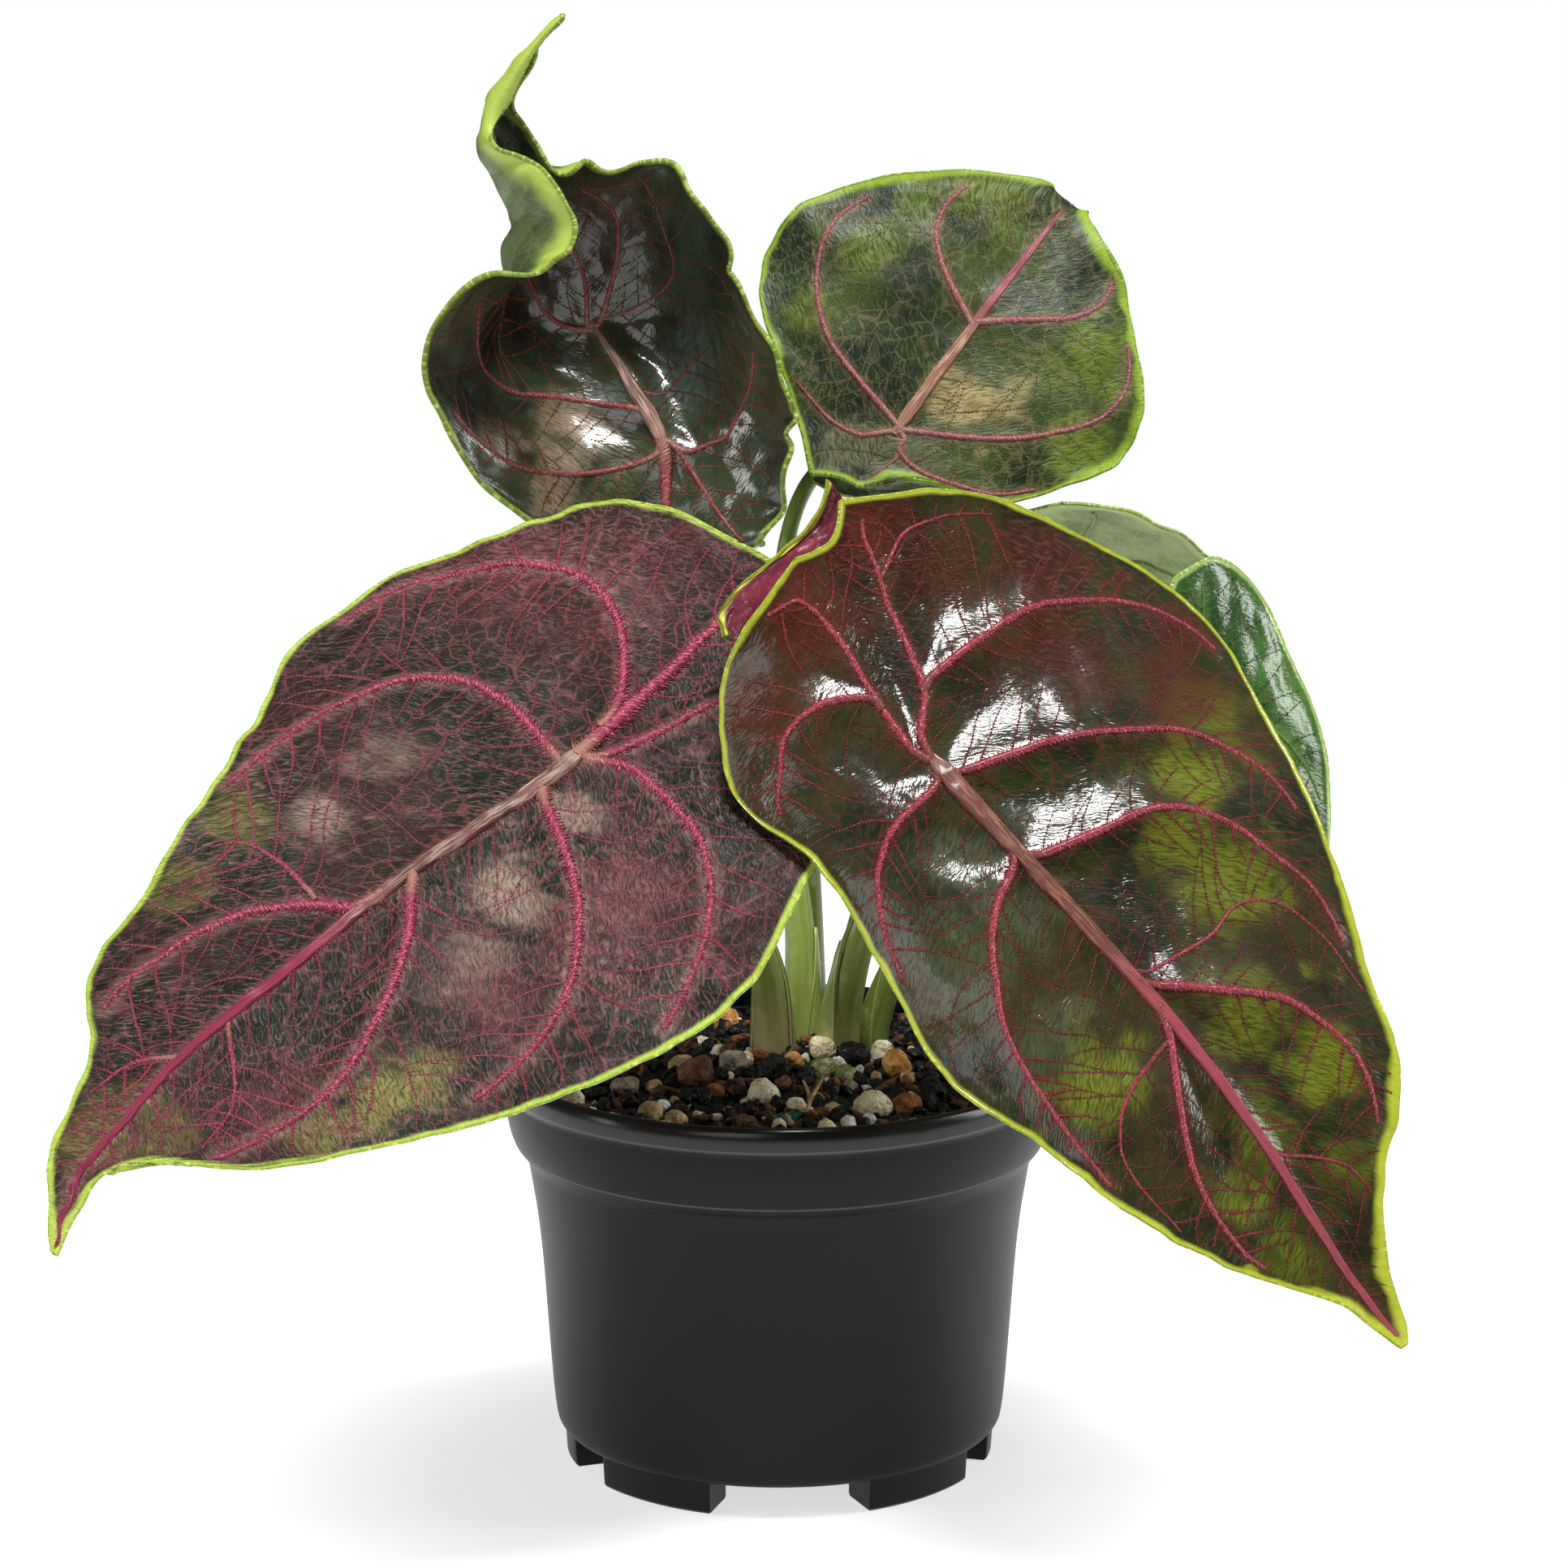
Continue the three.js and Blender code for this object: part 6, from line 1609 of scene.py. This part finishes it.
def makeSoil():
    random = np.random.default_rng(41)
    batches = {}
    # the bed, crumbled by waves of three sizes
    sides = soil["sides"]
    angle = evenTurns(sides)
    reach = soil["reach"] * np.linspace(0.01, 1, soil["rings"])
    x, y = reach[:, None] * np.cos(angle), reach[:, None] * np.sin(angle)
    crumble = 0.45 * ripple(x, y, 3.2, 5) + 0.3 * ripple(x, y, 1.5, 6)
    crumble += 0.35 * np.abs(ripple(x, y, 5.5, 7))
    top = np.stack([x, y, soilHeight(x, y) + crumble - 0.4], axis=-1)
    inside = potLine[potLine[:, 1].argmax():]
    inside = inside[inside[:, 1] < soil["edgeHeight"] - 1.5]
    skirt = []
    clear = 0.15  # millimetres kept between the bed and the pot
    for wall, height in inside:
        skirt.append(np.stack([(wall - clear) * np.cos(angle), (wall - clear) * np.sin(angle),
                               np.full(sides, height + clear)], axis=-1))
    rows = np.concatenate([top, np.array(skirt)])
    quads, caps = gridQuads(len(rows), sides, closed=True), endCaps(sides, (len(rows) - 1) * sides)
    peat = dampPeat("dampPeat", ["#010101", "#0a0705", "#2a2016"], [0.2, 0.7])
    bed = makeMesh("soil_bed", rows.reshape(-1, 3), quads, caps, [peat])
    # placed stones, then crumbs and grit all over
    big, small = roundTemplate(4), roundTemplate(2)
    for x, y, radius, kind in soil["stones"]:
        place = np.array([x, y, soilHeight(x, y) + 0.45 * radius])
        addGrain(batches.setdefault(kind, Batch()), random, big, place, radius, 0.12, 0.1)
    kinds, weights = zip(*soil["scattered"].items())
    for _ in range(soil["crumbs"]):
        x, y = randomSpot(random, soil["crumbReach"])
        kind = random.choice(kinds, p=weights)
        radius = random.uniform(0.5, 1.1) if kind == "white" else 0.6 + 1.5 * random.random() ** 2.2
        place = np.array([x, y, soilHeight(x, y) + 0.3 * radius])
        addGrain(batches.setdefault(kind, Batch()), random, small, place, radius, 0.4, 0.22)
    pieces = [bed]
    for kind, batch in batches.items():
        if kind == "black":
            material = dampPeat("wetPeat", soil["kinds"][kind], [0.12, 0.6])
        else:
            material = porousGrain("porousGrain_" + kind, soil["kinds"][kind])
        pieces.append(batch.piece("soil_grains_" + kind, [material]))
    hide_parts("soil")
    for each in pieces:
        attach(each, "root")


# Litter on the potting mix: a forked straw, and flat slivers of bark and of dark green stone
litter = {
    "strawRoutes": [
        [[6, -31, 84], [6.4, -28, 87], [5, -26.4, 90]], [[6.3, -29, 86], [8, -27.5, 88.6], [9.4, -27, 91]],
    ],
    "strawSteps": 16, "strawFacing": [0.0, -1.0, 0.2],
    "barkCount": 70, "barkSpread": 54, "barkReach": [1.6, 3.6], "barkWidth": [1.0, 2.4], "barkSteps": 7,
    "chipPlace": [1.5, -34.5, 84.4], "chipReach": [3.1, 0.4, 0.3], "chipFacing": [0.1, -0.6, 0.8],
    "chipWidth": 3.4, "chipSteps": 9,
}


def makeLitter():
    random = np.random.default_rng(43)
    straw, bark, green = Batch(), Batch(), Batch()
    steps = litter["strawSteps"]
    for route in litter["strawRoutes"]:
        line, at = centripetal(route, steps)
        normal = np.tile(litter["strawFacing"], (steps, 1))
        ribbon(straw, line, normal, 1.2 - 0.7 * at / at[-1], np.full(steps, 0.5), 0.4)
    steps = litter["barkSteps"]
    t = np.linspace(-1, 1, steps)
    for _ in range(litter["barkCount"]):
        x, y = randomSpot(random, litter["barkSpread"])
        way = random.uniform(0, math.pi)
        reach = random.uniform(*litter["barkReach"])
        line = np.stack([x + reach * t * math.cos(way), y + reach * t * math.sin(way),
                         soilHeight(x, y) + 1.1 + 0.5 * random.normal() * t], axis=-1)
        normal = np.tile(unit([random.normal() * 0.3, random.normal() * 0.3, 1]), (steps, 1))
        width = random.uniform(*litter["barkWidth"]) * (1 - 0.6 * t ** 4)
        ribbon(bark, line, normal, width, np.full(steps, 0.5), 0.5, (0, 0.9, 1, 0.85, 0))
    steps = litter["chipSteps"]
    t = np.linspace(-1, 1, steps)
    chip = np.array(litter["chipPlace"]) + t[:, None] * np.array(litter["chipReach"])
    normal = np.tile(unit(litter["chipFacing"]), (steps, 1))
    width = litter["chipWidth"] * (1 - 0.7 * t ** 2)
    ribbon(green, chip, normal, width, np.full(steps, 0.6), 0.6, (0, 0.9, 1, 0.6, 0))
    dress = {
        "straw": (straw, porousGrain("dryStraw", ["#a8895a", "#d8c290", "#7a5c34"], 0.6)),
        "bark": (bark, porousGrain("pineBark", ["#3c2214", "#7a4a28", "#1c0e08"], 0.6)),
        "chip": (green, porousGrain("greenStone", ["#123a2c", "#1f5a44", "#0a2018"], 0.25)),
    }
    for label, (batch, material) in dress.items():
        piece = batch.piece("soil_" + label, [material])
        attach(piece, "root")


makeSoil()
makeLitter()
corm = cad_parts["corm"]
corm.data.materials.clear()
corm.data.materials.append(cormBark())
print("potting mix done")


# Stage, light and camera
studio = {
    "floorReach": 0.75, "floorSides": 96, "floorColour": "#b4b4b4",
    "glowInPaintedShadow": 0.66, "glowBeyond": 0.965, "paintedShadowFadeStart": 0.05, "paintedShadowFadeEnd": 0.125,
    "tentBehind": 0.13, "tentFront": 0.03, "tentFrontEnds": -0.75, "tentBehindStarts": 0.35,
    "softboxes": {
        "top_softbox": [(0.1, -0.4, 1.5), (0, 0, 0.15), (0.5, 0.32), 27],
        "front_softbox": [(-0.45, -1.15, 0.55), (0, 0, 0.09), (0.6, 0.6), 2.5],
        "left_softbox": [(-1.4, -0.5, 0.55), (0, 0, 0.1), (0.3, 1.0), 7],
        "right_softbox": [(1.4, 0.0, 0.55), (0, 0, 0.1), (0.3, 1.0), 9],
    },
}


def emptyStage():
    scene = bpy.context.scene
    floorMesh = bpy.data.meshes.new("studio_floor")
    sides, reach = studio["floorSides"], studio["floorReach"]
    corners = [(reach * math.cos(turn), reach * math.sin(turn), 0.0) for turn in evenTurns(sides)]
    floorMesh.from_pydata(corners, [], [tuple(range(sides))])
    floor = bpy.data.objects.new("studio_floor", floorMesh)
    scene.collection.objects.link(floor)
    material, tree = newMaterial("litAcrylic")  # a white board lit from below, so shadows stay faint
    # its glow is lower near the pot: a painted shadow round the pot's foot
    where = addNode(tree, "TexCoord", output="Object")
    distance = addNode(tree, "VectorMath", {0: where}, "Value", operation="LENGTH")
    glowWithPaintedShadow = addNode(tree, "MapRange", {0: distance, 1: studio["paintedShadowFadeStart"], 2: studio["paintedShadowFadeEnd"],
                                      3: studio["glowInPaintedShadow"], 4: studio["glowBeyond"]}, **soft)
    shader = addNode(tree, "BsdfPrincipled", {
        "Base Color": srgb(studio["floorColour"]), "Roughness": 0.9, "IOR": 1.45, "Specular IOR Level": 0.1,
        "Emission Color": (1, 1, 1, 1), "Emission Strength": glowWithPaintedShadow})
    addNode(tree, "OutputMaterial", {"Surface": shader})
    floorMesh.materials.append(material)
    # a light tent: brighter behind, dark on the camera's side, and white to look at
    world = bpy.data.worlds.new("studio")
    scene.world = world
    world.use_nodes = True
    tree = world.node_tree
    tree.nodes.clear()
    direction = addNode(tree, "TexCoord", output="Generated")
    north = addNode(tree, "SeparateXYZ", {0: direction}, "Y")
    behind = addNode(tree, "MapRange", {0: north, 1: studio["tentFrontEnds"], 2: studio["tentBehindStarts"],
                                        3: studio["tentFront"], 4: studio["tentBehind"]}, **soft)
    tent = addNode(tree, "Background", {"Color": (1, 1, 1, 1), "Strength": behind})
    backdrop = addNode(tree, "Background", {"Color": (1, 1, 1, 1), "Strength": 1.0})
    seen = addNode(tree, "LightPath", output="Is Camera Ray")
    mixed = addNode(tree, "MixShader", {0: seen, 1: tent, 2: backdrop})
    addNode(tree, "OutputWorld", {"Surface": mixed})
    scene.view_settings.view_transform = "Standard"


def addSoftbox(name, place, target, size, power):
    light = bpy.data.lights.new(name, "AREA")
    light.shape = "RECTANGLE"
    light.size, light.size_y = size
    light.energy = power
    lamp = bpy.data.objects.new(name, light)
    bpy.context.scene.collection.objects.link(lamp)
    start, aim = Vector(place), Vector(target)
    lamp.location = start
    lamp.rotation_euler = (aim - start).to_track_quat("-Z", "Y").to_euler()


emptyStage()
for name, box in studio["softboxes"].items():
    addSoftbox(name, *box)

# The camera stands in millimetres from the pot's axis and looks down by so many degrees
cameraSpec = {
    "place": [1.05, -1000, 365.5], "down": 12.27, "pixelsFocal": 5915.0, "pixelsWide": 1932.0, "sensor": 36.0,
}
cameraData = bpy.data.cameras.new("photo_camera")
cameraData.sensor_width = cameraSpec["sensor"]
cameraData.lens = cameraSpec["sensor"] * cameraSpec["pixelsFocal"] / cameraSpec["pixelsWide"]
camera = bpy.data.objects.new("photo_camera", cameraData)
bpy.context.scene.collection.objects.link(camera)
camera.location = potAxis + np.array(cameraSpec["place"]) * mm
camera.rotation_euler = (math.radians(90 - cameraSpec["down"]), 0, 0)
bpy.context.scene.camera = camera
print("stage done")
